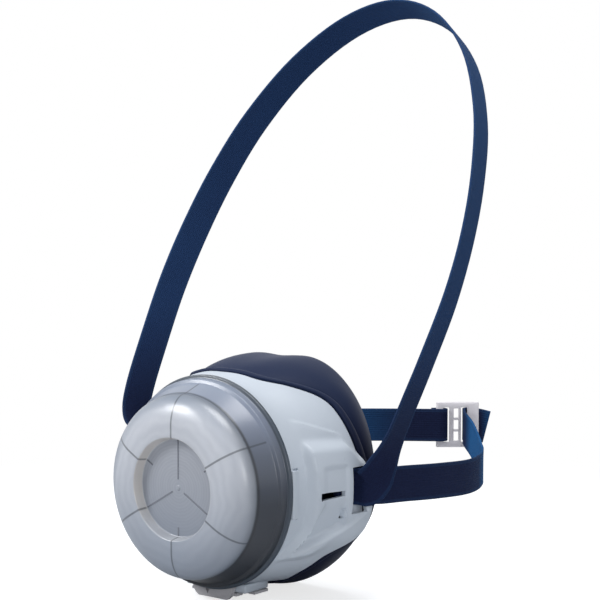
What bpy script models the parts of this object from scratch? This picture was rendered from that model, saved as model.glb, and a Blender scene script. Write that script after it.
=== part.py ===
"""Half-mask respirator with one replaceable round filter, a head loop and a buckled neck loop.

The wearer faces -Y, +X is the wearer's left and +Z is up. The origin is the centre of the opening that
seals on the face. Lengths are in metres. Depths called "back" are measured from the plane of the filter
cover's rear rim towards the face, so the face seal's rearmost plane lies at back = RIM_TO_SEAL.
"""

import math

import bmesh
import bpy
from mathutils import Matrix, Vector

# Driving dimensions, in metres
RIM_TO_SEAL = 0.060
GAP = 0.0003  # between pieces that touch

SHELL_FRONT_RADIUS = 0.0518  # the cover, the filter and the rest of the shell follow it
SHELL_FRONT = 0.0008  # back of the rim plane: the slit that lets air in round the cover
SHELL_SIDE_FLARE = 0.0092
SHELL_TOP_FLARE = 0.0032
SHELL_BOTTOM_FLARE = 0.0017
SHELL_FLARE = 0.0400
SHELL_WALL = 0.0022
HOOD_RISE = 0.0042
HOOD_FRONT = 0.0105
HOOD_TOP = 0.0245
HOOD_BOTTOM = -0.0360
HOOD_BEVEL = 0.0040
LATCH_HALF_LENGTH = 0.0115
LATCH_DROP = 0.0010
LATCH_WIDTH = 0.0042
LATCH_THICKNESS = 0.0020
LATCH_RISE = 0.0004
SLOT_LENGTH = 0.0137
SLOT_HEIGHT = 0.0032
SLOT_BACK = 0.0141
SLOT_LOW = -0.0046

COVER_RIM_OVERHANG = 0.0007
COVER_RIM_STEP = 0.0018
COVER_RIM_THICKNESS = 0.0020
COVER_SKIRT_STEP = 0.0019
COVER_SKIRT_LENGTH = 0.0065
COVER_TAPER = 0.0039
COVER_EDGE_HEIGHT = 0.0174
COVER_HEIGHT = 0.0274
COVER_LAND_RADIUS = 0.0300
COVER_RECESS_RADIUS = 0.0246
COVER_RECESS_SLOPE = 0.0012
COVER_RECESS_DEPTH = 0.0052
COVER_WALL = 0.0017
COVER_RIB_WIDTH = 0.0010
COVER_RIB_HEIGHT = 0.0016
COVER_FLOOR_RIB_HEIGHT = 0.0012
COVER_LONG_RIB_START = 0.0040
COVER_STUB_RIB_START = 0.0190
COVER_RIBS = 6

FILTER_TO_COVER = 0.0006
FILTER_BACK = 0.0014
FILTER_PLEAT_DEPTH = 0.0100
FILTER_MEDIA = 0.0016
FILTER_PLEATS = 5
FILTER_CORE_RADIUS = 0.0060
FRAME_WALL = 0.0018
FRAME_FOOT = 0.0009
FRAME_HEIGHT = 0.0130
GASKET_WIDTH = 0.0040
GASKET_THICKNESS = 0.0020

ANCHOR_INSET = 0.0040
ANCHOR_BACK = 0.0300
ANCHOR_RADIUS = 0.0015
ANCHOR_HALF_LENGTH = 0.0125
BOSS_INNER = 0.0105
BOSS_OUTER = 0.0140
BOSS_HALF_DEPTH = 0.0026
BOSS_TO_AXIS = 0.0028
BOSS_TO_WALL = 0.0055
POCKET_DEPTH = 0.0080
POCKET_BACK = 0.0328
POCKET_HALF_HEIGHT = 0.0112
CUT_REACH = 0.0140  # how far a side cutter stands out of the shell

NECK_TO_SHELL = 0.0343
NECK_WALL = 0.0025
NECK_LIP_RISE = 0.0014
NECK_LIP_LENGTH = 0.0014
NECK_LIP_SLOPE = 0.0004
NECK_END = 0.0320
BULKHEAD_THICKNESS = 0.0020
GRID_RADIUS = 0.0330
GRID_RIM = 0.0030
GRID_HUB = 0.0060
GRID_SPOKE = 0.0020
GRID_SPOKES = 8
GRID_THICKNESS = 0.0015
CUFF_WALL = 0.0026
CUFF_FRONT = 0.0240
CUFF_LENGTH = 0.0055
CLAMP_WALL = 0.0018
CLAMP_LENGTH = 0.0022
VALVE_FLAP = 0.0008
VALVE_NUB_RADIUS = 0.0022
VALVE_NUB_HEIGHT = 0.0006
INHALE_SEAT_THICKNESS = 0.0022
INHALE_SEAT_RIM = 0.0035
INHALE_SPOKES = 4
INHALE_FLAP_LAP = 0.0021
EXHALE_FLANGE_RADIUS = 0.0119
EXHALE_FLANGE_RISE = 0.0014
EXHALE_SEAT_WALL = 0.0021
EXHALE_FLAP_LAP = 0.0018
EXHALE_FACE_BACK = 0.0246
EXHALE_SEAT_LENGTH = 0.0088
EXHALE_FRONT_LIP = 0.0026
EXHALE_REAR_LIP = 0.0016
EXHALE_SPOKE_HALF = 0.0008
EXHALE_SPOKE_DEPTH = 0.0014

FACEPIECE_WALL = 0.0022
FACEPIECE_TO_SHELL = 0.0005
CHEEK_SWELL = 0.0022
BEAD_RISE = 0.0016
BEAD_LENGTH = 0.0050
BEAD_ROUND = 0.0014
BEAD_GROOVE = 0.0003
FACE_SIDE_INSET = 0.0035
FACE_NOSE_RISE = 0.0065
FACE_CHIN_DROP = 0.0055
FACE_UPPER_POWER = 2.15
FACE_LOWER_POWER = 1.80
FACE_OPENING_WIDTH = 0.0380
FACE_OPENING_TOP = 0.0370
FACE_OPENING_BOTTOM = 0.0420
FACE_RIM_ROUND = 0.0016
FACE_LIP_THICKNESS = 0.0013
FACE_LIP_DIP = 0.0022
FACE_LIP_DEPTH = 0.0075
NOSE_NOTCH = 0.0040
NOSE_NOTCH_ANGLE = 15.0

EXHAUST_HALF_WIDTH = 0.0190
EXHAUST_FRONT = 0.0045
EXHAUST_REAR = 0.0225
EXHAUST_DROP = 0.0020
EXHAUST_WALL = 0.0016
EXHAUST_COVER_THICKNESS = 0.0014
EXHAUST_OVERHANG = 0.0012
EXHAUST_TAB_TOP_WIDTH = 0.0138
EXHAUST_TAB_HALF_WIDTH = 0.0093
EXHAUST_TAB_THICKNESS = 0.0019
EXHAUST_TAB_HANG = 0.0022
EXHAUST_TAB_CORNER = 0.0018
EXHAUST_HINGE_BACK = 0.0250
EXHAUST_HINGE_DROP = 0.0017
EXHAUST_HINGE_RADIUS = 0.0016
EXHAUST_TRAY_TO_HINGE = 0.0026
EXHAUST_VENTS = (-0.0105, 0.0, 0.0105)
EXHAUST_VENT_HALF_WIDTH = 0.0042
EXHAUST_VENT_FRONT = 0.0085
EXHAUST_VENT_REAR = 0.0180
EXHAUST_PIN_RADIUS = 0.0007
EXHAUST_PIN_INSET = 0.0002
EXHAUST_KNUCKLE_HALF = 0.0110
EXHAUST_EAR = 0.0037

STRAP_WIDTH = 0.0180
STRAP_THICKNESS = 0.0012
STRAP_LEAN = math.radians(30.2)
STRAP_TWIST = math.radians(13)
STRAP_TURN_START = 0.000  # heights between which the head strap turns from upright to leaning
STRAP_TURN_END = 0.028
ROUTE_ANCHOR_X = 0.0570  # the side bars' X for which the routes below are drawn

BUCKLE_CENTRE = (0.0340, 0.1085, 0.0120)
BUCKLE_TURN = math.radians(38.3)
BUCKLE_HALF_LENGTH = 0.0117
BUCKLE_HALF_HEIGHT = 0.0125
BUCKLE_CORNER = 0.0020
BUCKLE_THICKNESS = 0.0018
BUCKLE_SLOT_HALF_HEIGHT = 0.0096
BUCKLE_STRAP_SLOTS = ((-0.0079, -0.0045), (0.0019, 0.0053))
BUCKLE_TIED_SLOT = (-0.0021, 0.0006)
BUCKLE_TIE = 0.0012

ROUND_STEPS = 40
SMALL_STEPS = 24
LOFT_STEPS = 48

# The shell's rear edge: its depth behind the rim, by the angle in degrees up from the wearer's left
SEAM = ((90, 0.0095), (66, 0.0130), (54, 0.0240), (42, 0.0350), (20, 0.0390), (-10, 0.0470),
        (-22, 0.0425), (-34, 0.0290), (-52, 0.0235), (-72, 0.0265), (-90, 0.0275))

# The straps' routes: x, y and z of the band's middle
HEAD_LEFT_START = ((0.0681, -0.0247, -0.0004), (0.0704, -0.0237, 0.0006), (0.0729, -0.0216, 0.0048),
                   (0.0750, -0.0193, 0.0110), (0.0778, -0.0171, 0.0190), (0.0816, -0.0149, 0.0290),
                   (0.0850, -0.0122, 0.0400))
HEAD_RIGHT_START = ((-0.0681, -0.0247, -0.0004), (-0.0712, -0.0246, 0.0003), (-0.0765, -0.0239, 0.0044),
                    (-0.0826, -0.0230, 0.0115), (-0.0864, -0.0208, 0.0220), (-0.0876, -0.0160, 0.0360))
HEAD_ARCH = ((0.0890, -0.0034, 0.0600), (0.0911, 0.0143, 0.0900), (0.0895, 0.0318, 0.1200),
             (0.0842, 0.0489, 0.1500), (0.0743, 0.0662, 0.1800), (0.0562, 0.0838, 0.2100),
             (0.0300, 0.0965, 0.2320), (0.0, 0.1010, 0.2400))
NECK_LEFT_ROUTE = ((0.0652, -0.0155, -0.0010), (0.0681, -0.0095, -0.0015), (0.0715, 0.0040, -0.0020),
                   (0.0755, 0.0280, -0.0035), (0.0750, 0.0570, -0.0053), (0.0680, 0.0800, -0.0050),
                   (0.0600, 0.0905, -0.0010), (0.0500, 0.0992, 0.0055), (0.0415, 0.1050, 0.0105))
NECK_RIGHT_ROUTE = ((-0.0653, -0.0152, -0.0008), (-0.0682, -0.0090, 0.0000), (-0.0730, 0.0080, 0.0025),
                    (-0.0680, 0.0310, 0.0070), (-0.0450, 0.0500, 0.0110), (-0.0093, 0.0735, 0.0120),
                    (0.0105, 0.0886, 0.0120))

# The neck strap's tail from its slot, as (along the strap, towards the neck, up) from the slot's middle
NECK_TAIL = ((0.0, 0.0012, 0.0), (0.0, -0.0018, 0.0), (0.0022, -0.0040, 0.0), (0.0065, -0.0042, -0.0004),
             (0.0130, -0.0046, -0.0020))
NECK_LOOP = ((-0.0088, 0.0022), (-0.0022, 0.0026), (0.0, 0.0010), (0.0, -0.0010), (-0.0022, -0.0026),
             (-0.0080, -0.0022))

# The webbing's turn round a side bar, before and after it: x, y and z from the bar's middle
WRAP_OUTER = ((0.0083, 0.0057, -0.0003), (0.0057, 0.0051, -0.0002), (0.0030, 0.0028, 0.0))
WRAP_INNER = ((-0.0014, 0.0050, 0.0), (0.0022, 0.0085, -0.0004), (0.0068, 0.0128, -0.0010))

# Sizes that follow from the ones above
SHELL_REAR_HALF_WIDTH = SHELL_FRONT_RADIUS + SHELL_SIDE_FLARE
SHELL_REAR_TOP = SHELL_FRONT_RADIUS + SHELL_TOP_FLARE
SHELL_REAR_BOTTOM = SHELL_FRONT_RADIUS + SHELL_BOTTOM_FLARE
COVER_RIM_RADIUS = SHELL_FRONT_RADIUS + COVER_RIM_OVERHANG
COVER_SKIRT_RADIUS = COVER_RIM_RADIUS - COVER_RIM_STEP
COVER_WALL_RADIUS = COVER_SKIRT_RADIUS - COVER_SKIRT_STEP
COVER_EDGE_RADIUS = COVER_WALL_RADIUS - COVER_TAPER
COVER_INNER_HEIGHT = COVER_HEIGHT - COVER_WALL
FILTER_RADIUS = COVER_EDGE_RADIUS - COVER_WALL - FILTER_TO_COVER - FRAME_WALL - GAP
BULKHEAD_BACK = FILTER_BACK + 2 * GAP + GASKET_THICKNESS
ANCHOR_X = SHELL_REAR_HALF_WIDTH - ANCHOR_INSET
POCKET_INNER_X = ANCHOR_X - POCKET_DEPTH
SIDE_CUT_X = SHELL_REAR_HALF_WIDTH + CUT_REACH
NECK_BORE = SHELL_FRONT_RADIUS - NECK_TO_SHELL
NECK_RADIUS = NECK_BORE + NECK_WALL
CUFF_INNER_RADIUS = NECK_RADIUS + GAP
CUFF_OUTER_RADIUS = CUFF_INNER_RADIUS + CUFF_WALL
CLAMP_INNER_RADIUS = CUFF_OUTER_RADIUS + GAP
CLAMP_OUTER_RADIUS = CLAMP_INNER_RADIUS + CLAMP_WALL
NECK_LIP_RADIUS = NECK_RADIUS + NECK_LIP_RISE
INHALE_SEAT_RADIUS = NECK_BORE - GAP
INHALE_FLAP_RADIUS = INHALE_SEAT_RADIUS - INHALE_SEAT_RIM + INHALE_FLAP_LAP
EXHALE_PORT_DOWN = CLAMP_OUTER_RADIUS + GAP + EXHALE_FLANGE_RADIUS
EXHALE_SEAT_RADIUS = EXHALE_FLANGE_RADIUS - EXHALE_FLANGE_RISE
EXHALE_PORT_RADIUS = EXHALE_SEAT_RADIUS + GAP
EXHALE_BORE = EXHALE_SEAT_RADIUS - EXHALE_SEAT_WALL
EXHALE_FLAP_RADIUS = EXHALE_BORE + EXHALE_FLAP_LAP
FACE_HALF_WIDTH = SHELL_REAR_HALF_WIDTH - FACE_SIDE_INSET
FACE_TOP = SHELL_REAR_TOP + FACE_NOSE_RISE
FACE_BOTTOM = SHELL_REAR_BOTTOM + FACE_CHIN_DROP
EXHAUST_BOTTOM = SHELL_FRONT_RADIUS + EXHAUST_DROP
EXHAUST_ROOT = SHELL_FRONT_RADIUS - SHELL_WALL  # a height that lies within the shell's floor



def at_depth(back):
    """World Y of a depth behind the cover's rim."""
    return back - RIM_TO_SEAL


# ---------------------------------------------------------------- scene and materials


def empty_scene():
    for old in list(bpy.data.objects):
        bpy.data.objects.remove(old, do_unlink=True)


def collection(name):
    made = bpy.data.collections.new(name)
    bpy.context.scene.collection.children.link(made)
    return made


empty_scene()
PARTS = collection("respirator")
CUTTERS = collection("respirator_cutters")


def material(name, colour, roughness, metallic=0.0, transmission=0.0):
    made = bpy.data.materials.new(name)
    made.use_nodes = True
    surface = made.node_tree.nodes["Principled BSDF"]
    surface.inputs["Base Color"].default_value = (*colour, 1.0)
    surface.inputs["Roughness"].default_value = roughness
    surface.inputs["Metallic"].default_value = metallic
    surface.inputs["Transmission Weight"].default_value = transmission
    made.diffuse_color = (*colour, 1.0)
    return made


SMOKE = material("smoke_polycarbonate", (0.42, 0.46, 0.52), 0.35, transmission=0.6)
SHELL_GREY = material("pale_blue_grey_abs", (0.56, 0.64, 0.69), 0.40)
TAB_GREY = material("light_grey_abs", (0.55, 0.55, 0.56), 0.45)
NAVY_RUBBER = material("navy_rubber", (0.035, 0.045, 0.11), 0.55)
NAVY_WEBBING = material("navy_webbing", (0.02, 0.04, 0.12), 0.80)
NATURAL = material("natural_polypropylene", (0.80, 0.82, 0.84), 0.40)
FILTER_WHITE = material("filter_media", (0.85, 0.84, 0.80), 0.90)
GASKET_GREY = material("grey_foam", (0.25, 0.26, 0.28), 0.85)
VALVE_SILICONE = material("valve_silicone", (0.70, 0.62, 0.45), 0.45)
STEEL = material("stainless_steel", (0.60, 0.60, 0.62), 0.30, metallic=1.0)


# ---------------------------------------------------------------- shape helpers


def add_object(name, mesh, surface, group=None):
    made = bpy.data.objects.new(name, mesh)
    (group or PARTS).objects.link(made)
    if surface:
        mesh.materials.clear()
        mesh.materials.append(surface)
    return made


def mesh_of(name, points, faces, edges=()):
    mesh = bpy.data.meshes.new(name)
    mesh.from_pydata([tuple(point) for point in points], list(edges), [tuple(face) for face in faces])
    mesh.update()
    return mesh


def smooth_shade(made, angle=35):
    made.data.shade_smooth()
    made.data.set_sharp_from_angle(angle=math.radians(angle))


def evaluated(made):
    """The object's mesh with its modifiers applied."""
    bpy.context.view_layer.update()
    graph = bpy.context.evaluated_depsgraph_get()
    return bpy.data.meshes.new_from_object(made.evaluated_get(graph))


def turned(name, profile, surface, back=0.0, middle=(0.0, 0.0), steps=ROUND_STEPS, ring=False):
    """A turned piece. The profile lists (radius, distance forward of its own plane), down the outer side."""
    count = len(profile)
    edges = [(i, i + 1) for i in range(count - 1)] + ([(count - 1, 0)] if ring else [])
    outline = mesh_of(name, [(radius, 0.0, forward) for radius, forward in profile], [], edges)
    made = add_object(name, outline, surface)
    screw = made.modifiers.new("turn", "SCREW")
    screw.axis = "Z"
    screw.angle = math.tau
    screw.steps = steps
    screw.render_steps = steps
    screw.use_merge_vertices = True
    screw.merge_threshold = 0.00001
    screw.use_smooth_shade = True
    made.rotation_euler = (math.pi / 2, 0.0, 0.0)
    made.location = (middle[0], at_depth(back), middle[1])
    return made


def boolean(target, tool, operation):
    step = target.modifiers.new(operation.lower(), "BOOLEAN")
    step.operation = operation
    step.object = tool
    tool.hide_render = True
    tool.display_type = "WIRE"


def box_mesh(name, low, high):
    mesh = bpy.data.meshes.new(name)
    body = bmesh.new()
    size = Vector(high) - Vector(low)
    centre = (Vector(high) + Vector(low)) / 2
    bmesh.ops.create_cube(body, size=1.0, matrix=Matrix.Translation(centre) @ Matrix.Diagonal((*size, 1.0)))
    body.to_mesh(mesh)
    body.free()
    return mesh


def box(name, low, high, surface=None, group=None):
    return add_object(name, box_mesh(name, low, high), surface, group)


def rod(name, middle, axis, radius, half_length, surface=None, group=None, steps=SMALL_STEPS):
    """A cylinder with its middle at a point and its length along an axis."""
    mesh = bpy.data.meshes.new(name)
    body = bmesh.new()
    turn = Vector((0, 0, 1)).rotation_difference(Vector(axis)).to_matrix().to_4x4()
    bmesh.ops.create_cone(body, cap_ends=True, segments=steps, radius1=radius, radius2=radius,
                          depth=2 * half_length, matrix=Matrix.Translation(Vector(middle)) @ turn)
    body.to_mesh(mesh)
    body.free()
    made = add_object(name, mesh, surface, group)
    smooth_shade(made)
    return made


def flat_plate(name, outlines, thickness, surface):
    """A flat piece: the first outline is its edge and the others are holes, as (x, y) lists."""
    curve = bpy.data.curves.new(name, "CURVE")
    curve.dimensions = "2D"
    curve.fill_mode = "BOTH"
    curve.extrude = thickness / 2
    for outline in outlines:
        spline = curve.splines.new("POLY")
        spline.points.add(len(outline) - 1)
        for point, (x, y) in zip(spline.points, outline):
            point.co = (x, y, 0.0, 1.0)
        spline.use_cyclic_u = True
    return add_object(name, curve, surface)


def plate_to_mesh(made):
    """A filled curve as a closed mesh, so that it can be cut and placed."""
    mesh = evaluated(made)
    body = bmesh.new()
    body.from_mesh(mesh)
    bmesh.ops.remove_doubles(body, verts=body.verts, dist=0.000002)
    bmesh.ops.recalc_face_normals(body, faces=body.faces)
    body.to_mesh(mesh)
    body.free()
    surface = made.data.materials[0]
    name = made.name
    bpy.data.objects.remove(made, do_unlink=True)
    return add_object(name, mesh, surface)


def circle(radius, steps):
    turns = [math.tau * i / steps for i in range(steps)]
    return [(radius * math.cos(turn), radius * math.sin(turn)) for turn in turns]


def sector_holes(inner, outer, count, spoke, arc_steps=5):
    """The holes between the spokes of a wheel: each is a ring sector, its sides parallel to the spokes."""
    holes = []
    for k in range(count):
        first = math.tau * k / count
        last = math.tau * (k + 1) / count
        points = []
        for radius, forward in ((outer, True), (inner, False)):
            margin = math.asin(spoke / 2 / radius)
            low, high = first + margin, last - margin
            steps = [low + (high - low) * i / arc_steps for i in range(arc_steps + 1)]
            for angle in steps if forward else reversed(steps):
                points.append((radius * math.cos(angle), radius * math.sin(angle)))
        holes.append(points)
    return holes


def blend(table, value):
    """Reads a table of (position, amount) pairs, straight between its entries."""
    if value <= table[0][0]:
        return table[0][1]
    for (start, low), (end, high) in zip(table, table[1:]):
        if value <= end:
            share = (value - start) / (end - start)
            return low + (high - low) * share
    return table[-1][1]


def ramp(value, low, high):
    """0 below low, 1 above high, and a smooth step between them."""
    share = min(1.0, max(0.0, (value - low) / (high - low)))
    return share * share * (3 - 2 * share)


def curve_through(points, steps):
    """Points of a smooth curve that passes through every given point."""
    ends = [points[0] * 2 - points[1], *points, points[-1] * 2 - points[-2]]
    route = []
    for before, start, end, after in zip(ends, ends[1:], ends[2:], ends[3:]):
        for i in range(steps):
            t = i / steps
            bend = before * 2 - start * 5 + end * 4 - after
            flex = start * 3 - before - end * 3 + after
            route.append(0.5 * (start * 2 + (end - before) * t + bend * t * t + flex * t * t * t))
    return route + [points[-1]]


def seam_back(angle):
    """Depth of the shell's rear edge at an angle up from the wearer's left, alike on both sides."""
    turn = math.degrees(math.asin(max(-1.0, min(1.0, math.sin(angle)))))
    reach = 5.0
    table = sorted(SEAM)
    samples = [blend(table, max(-90.0, min(90.0, turn + reach * k / 2))) for k in (-2, -1, 0, 1, 2)]
    return sum(samples) / len(samples)


def oval(angle, half_width, top, bottom, power):
    """Radius of a squarish oval at an angle."""
    height = top if math.sin(angle) >= 0 else bottom
    across = abs(math.cos(angle) / half_width) ** power
    along = abs(math.sin(angle) / height) ** power
    return (across + along) ** (-1 / power)


def shell_radius(angle, back):
    """Outer radius of the shell without its hoods."""
    share = ramp(back, 0.0, SHELL_FLARE)
    top_share = ramp(back, 0.0, SHELL_FLARE * 0.55)
    half_width = SHELL_FRONT_RADIUS + (SHELL_REAR_HALF_WIDTH - SHELL_FRONT_RADIUS) * share
    top = SHELL_FRONT_RADIUS + (SHELL_REAR_TOP - SHELL_FRONT_RADIUS) * top_share
    bottom = SHELL_FRONT_RADIUS + (SHELL_REAR_BOTTOM - SHELL_FRONT_RADIUS) * share
    return oval(angle, half_width, top, bottom, 2.0 + 0.3 * share)


def hood_rise(angle, back):
    """How far the raised strap hood stands out of the shell on each side."""
    height = shell_radius(angle, back) * math.sin(angle)
    front = ramp(back, HOOD_FRONT, HOOD_FRONT + HOOD_BEVEL)
    top = 1 - ramp(height, HOOD_TOP - 2.2 * HOOD_BEVEL, HOOD_TOP)
    bottom = ramp(height, HOOD_BOTTOM, HOOD_BOTTOM + 5 * HOOD_BEVEL)
    return HOOD_RISE * front * top * bottom


def grid_body(name, rings, surface):
    """A closed body from rings of equal length, joined round and then back to the first ring."""
    count = len(rings[0])
    total = len(rings)
    points = [point for ring in rings for point in ring]
    faces = []
    for j in range(total):
        for i in range(count):
            a = j * count + i
            b = j * count + (i + 1) % count
            c = ((j + 1) % total) * count + (i + 1) % count
            d = ((j + 1) % total) * count + i
            faces.append((a, b, c, d))
    mesh = mesh_of(name, points, faces)
    body = bmesh.new()
    body.from_mesh(mesh)
    bmesh.ops.recalc_face_normals(body, faces=body.faces)
    if body.calc_volume(signed=True) < 0:
        bmesh.ops.reverse_faces(body, faces=body.faces)
    body.to_mesh(mesh)
    body.free()
    made = add_object(name, mesh, surface)
    smooth_shade(made)
    return made


def ring_at(radius_of, back_of):
    """One ring of a loft: radius and depth are functions of the angle."""
    ring = []
    for i in range(LOFT_STEPS):
        angle = math.tau * i / LOFT_STEPS
        radius = radius_of(angle)
        ring.append((radius * math.cos(angle), at_depth(back_of(angle)), radius * math.sin(angle)))
    return ring


def ribbon(name, route, across, surface, width=STRAP_WIDTH, thickness=STRAP_THICKNESS):
    """A flat band along a route. across gives the direction of its width at each point."""
    points = []
    for i, point in enumerate(route):
        tangent = (route[min(i + 1, len(route) - 1)] - route[max(i - 1, 0)]).normalized()
        side = across[i] - tangent * across[i].dot(tangent)
        side.normalize()
        out = tangent.cross(side)
        for w, t in ((-1, -1), (1, -1), (1, 1), (-1, 1)):
            points.append(point + side * (w * width / 2) + out * (t * thickness / 2))
    faces = []
    for j in range(len(route) - 1):
        for i in range(4):
            k = (i + 1) % 4
            faces.append((4 * j + i, 4 * j + k, 4 * j + 4 + k, 4 * j + 4 + i))
    last = 4 * (len(route) - 1)
    faces.append((3, 2, 1, 0))
    faces.append((last, last + 1, last + 2, last + 3))
    mesh = mesh_of(name, points, faces)
    body = bmesh.new()
    body.from_mesh(mesh)
    bmesh.ops.recalc_face_normals(body, faces=body.faces)
    if body.calc_volume(signed=True) < 0:
        bmesh.ops.reverse_faces(body, faces=body.faces)
    body.to_mesh(mesh)
    body.free()
    made = add_object(name, mesh, surface)
    smooth_shade(made)
    return made


# ---------------------------------------------------------------- filter cover


def cover_outside():
    """The cover's outer profile, from its centre to the rim's rear face."""
    floor = COVER_HEIGHT - COVER_RECESS_DEPTH
    points = [(0.0, floor), (COVER_RECESS_RADIUS - COVER_RECESS_SLOPE, floor),
              (COVER_RECESS_RADIUS, COVER_HEIGHT), (COVER_LAND_RADIUS, COVER_HEIGHT)]
    steps = 6
    for i in range(1, steps + 1):
        turn = math.pi / 2 * i / steps
        points.append((COVER_LAND_RADIUS + (COVER_EDGE_RADIUS - COVER_LAND_RADIUS) * math.sin(turn),
                       COVER_EDGE_HEIGHT + (COVER_HEIGHT - COVER_EDGE_HEIGHT) * math.cos(turn)))
    points += [(COVER_WALL_RADIUS, COVER_SKIRT_LENGTH), (COVER_SKIRT_RADIUS, COVER_SKIRT_LENGTH - GAP),
               (COVER_SKIRT_RADIUS, COVER_RIM_THICKNESS), (COVER_RIM_RADIUS, COVER_RIM_THICKNESS),
               (COVER_RIM_RADIUS, 0.0)]
    return points


def cover_inside():
    """The cover's inner profile, from the rim's rear face to the centre."""
    floor = COVER_HEIGHT - COVER_RECESS_DEPTH - COVER_WALL
    skirt = COVER_SKIRT_RADIUS - COVER_WALL
    edge = COVER_EDGE_RADIUS - COVER_WALL
    edge_height = COVER_EDGE_HEIGHT - COVER_WALL / 3
    land = COVER_LAND_RADIUS - COVER_WALL / 4
    recess = COVER_RECESS_RADIUS + COVER_WALL
    points = [(skirt, 0.0), (skirt, COVER_SKIRT_LENGTH - COVER_WALL),
              (COVER_WALL_RADIUS - COVER_WALL, COVER_SKIRT_LENGTH - COVER_WALL / 3)]
    steps = 5
    for i in range(steps, -1, -1):
        turn = math.pi / 2 * i / steps
        points.append((land + (edge - land) * math.sin(turn),
                       edge_height + (COVER_INNER_HEIGHT - edge_height) * math.cos(turn)))
    points += [(recess, COVER_INNER_HEIGHT), (recess - COVER_RECESS_SLOPE, floor), (0.0, floor)]
    return points


def rib_plate(name, outline, angle):
    """A thin upright plate in the plane of the cover's axis: the outline lists (radius, forward)."""
    half = COVER_RIB_WIDTH / 2
    points = [(r, -half, f) for r, f in outline] + [(r, half, f) for r, f in outline]
    count = len(outline)
    faces = [tuple(range(count)), tuple(range(2 * count - 1, count - 1, -1))]
    faces += [(i, count + i, count + (i + 1) % count, (i + 1) % count) for i in range(count)]
    mesh = mesh_of(name, points, faces)
    body = bmesh.new()
    body.from_mesh(mesh)
    bmesh.ops.recalc_face_normals(body, faces=body.faces)
    body.to_mesh(mesh)
    body.free()
    made = add_object(name, mesh, None, CUTTERS)
    made.matrix_world = (Matrix.Translation((0.0, at_depth(0.0), 0.0)) @ Matrix.Rotation(math.pi / 2, 4, "X")
                         @ Matrix.Rotation(angle, 4, "Z"))
    return made


def filter_cover():
    """The frosted dome over the filter, with ribs inside its dome and its sunk centre."""
    inside = cover_inside()
    cover = turned("filter_cover", cover_outside() + inside, SMOKE)
    sunk = COVER_WALL / 3
    dome = [(r + sunk, f + sunk) for r, f in inside[3:9]]
    inner_dome = [(r - COVER_RIB_HEIGHT / 2, f - COVER_RIB_HEIGHT) for r, f in reversed(inside[3:9])]
    wall_foot = (COVER_WALL_RADIUS - COVER_WALL + sunk, COVER_SKIRT_LENGTH + COVER_WALL / 2)
    inner_foot = (wall_foot[0] - COVER_RIB_HEIGHT, wall_foot[1] + COVER_WALL / 2)
    floor = COVER_HEIGHT - COVER_RECESS_DEPTH - COVER_WALL
    bar_top = floor + sunk
    bar_low = floor - COVER_FLOOR_RIB_HEIGHT
    bar_end = COVER_RECESS_RADIUS + COVER_WALL / 2
    for k in range(COVER_RIBS):
        angle = math.pi / 2 + math.tau * k / COVER_RIBS
        arm = rib_plate(f"cover_rib_{k}", [wall_foot, *dome, *inner_dome, inner_foot], angle)
        boolean(cover, arm, "UNION")
        start = COVER_LONG_RIB_START if k % 2 == 0 else COVER_STUB_RIB_START
        bar = [(start, bar_top), (bar_end, bar_top), (bar_end, bar_low), (start, bar_low)]
        boolean(cover, rib_plate(f"cover_floor_rib_{k}", bar, angle), "UNION")
    return cover


# ---------------------------------------------------------------- filter


def filter_parts():
    """The concentric pleated element in its ring frame, and the gasket behind the frame."""
    half = FILTER_PLEAT_DEPTH / 2
    pitch = (FILTER_RADIUS - FILTER_CORE_RADIUS) / FILTER_PLEATS
    front = [(0.0, half)]
    rear = [(0.0, half - FILTER_MEDIA)]
    for k in range(FILTER_PLEATS):
        crest = FILTER_CORE_RADIUS + pitch * k
        front += [(crest, half), (crest + pitch / 2, -half + FILTER_MEDIA)]
        rear += [(crest, half - FILTER_MEDIA), (crest + pitch / 2, -half)]
    front.append((FILTER_RADIUS, half))
    rear.append((FILTER_RADIUS, half - FILTER_MEDIA))
    turned("filter_element", front + rear[::-1], FILTER_WHITE, FILTER_BACK - FRAME_HEIGHT / 2)

    inner = FILTER_RADIUS + GAP
    outer = inner + FRAME_WALL
    foot = inner - GASKET_WIDTH / 2
    turned("filter_frame", [(outer, FRAME_HEIGHT), (outer, 0.0), (foot, 0.0), (foot, FRAME_FOOT),
                            (inner, FRAME_FOOT), (inner, FRAME_HEIGHT)], FILTER_WHITE, FILTER_BACK, ring=True)
    bore = outer - GASKET_WIDTH
    turned("filter_gasket", [(outer, GASKET_THICKNESS), (outer, 0.0), (bore, 0.0), (bore, GASKET_THICKNESS)],
           GASKET_GREY, FILTER_BACK + GAP + GASKET_THICKNESS, ring=True)


# ---------------------------------------------------------------- inner body and valves


def inner_body():
    """The bulkhead behind the filter and the neck that the facepiece grips."""
    rear = BULKHEAD_BACK - NECK_END
    lip = rear + NECK_LIP_LENGTH
    sheet = -BULKHEAD_THICKNESS
    rim = SHELL_FRONT_RADIUS - SHELL_WALL - GAP
    turned("inner_body", [(rim, 0.0), (rim, sheet), (NECK_RADIUS, sheet), (NECK_RADIUS, lip + NECK_LIP_SLOPE),
                          (NECK_LIP_RADIUS, lip), (NECK_LIP_RADIUS, rear), (NECK_BORE, rear),
                          (NECK_BORE, 0.0)], NATURAL, BULKHEAD_BACK, ring=True)


def placed_wheel(name, outer, rim, hub, spokes, spoke, thickness, back):
    """A spoked disc on the mask's axis, with a solid hub and a rim."""
    outlines = [circle(outer, ROUND_STEPS)] + sector_holes(hub, outer - rim, spokes, spoke)
    disc = plate_to_mesh(flat_plate(name, outlines, thickness, NATURAL))
    disc.rotation_euler = (math.pi / 2, 0.0, 0.0)
    disc.location = (0.0, at_depth(back), 0.0)
    return disc


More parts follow.
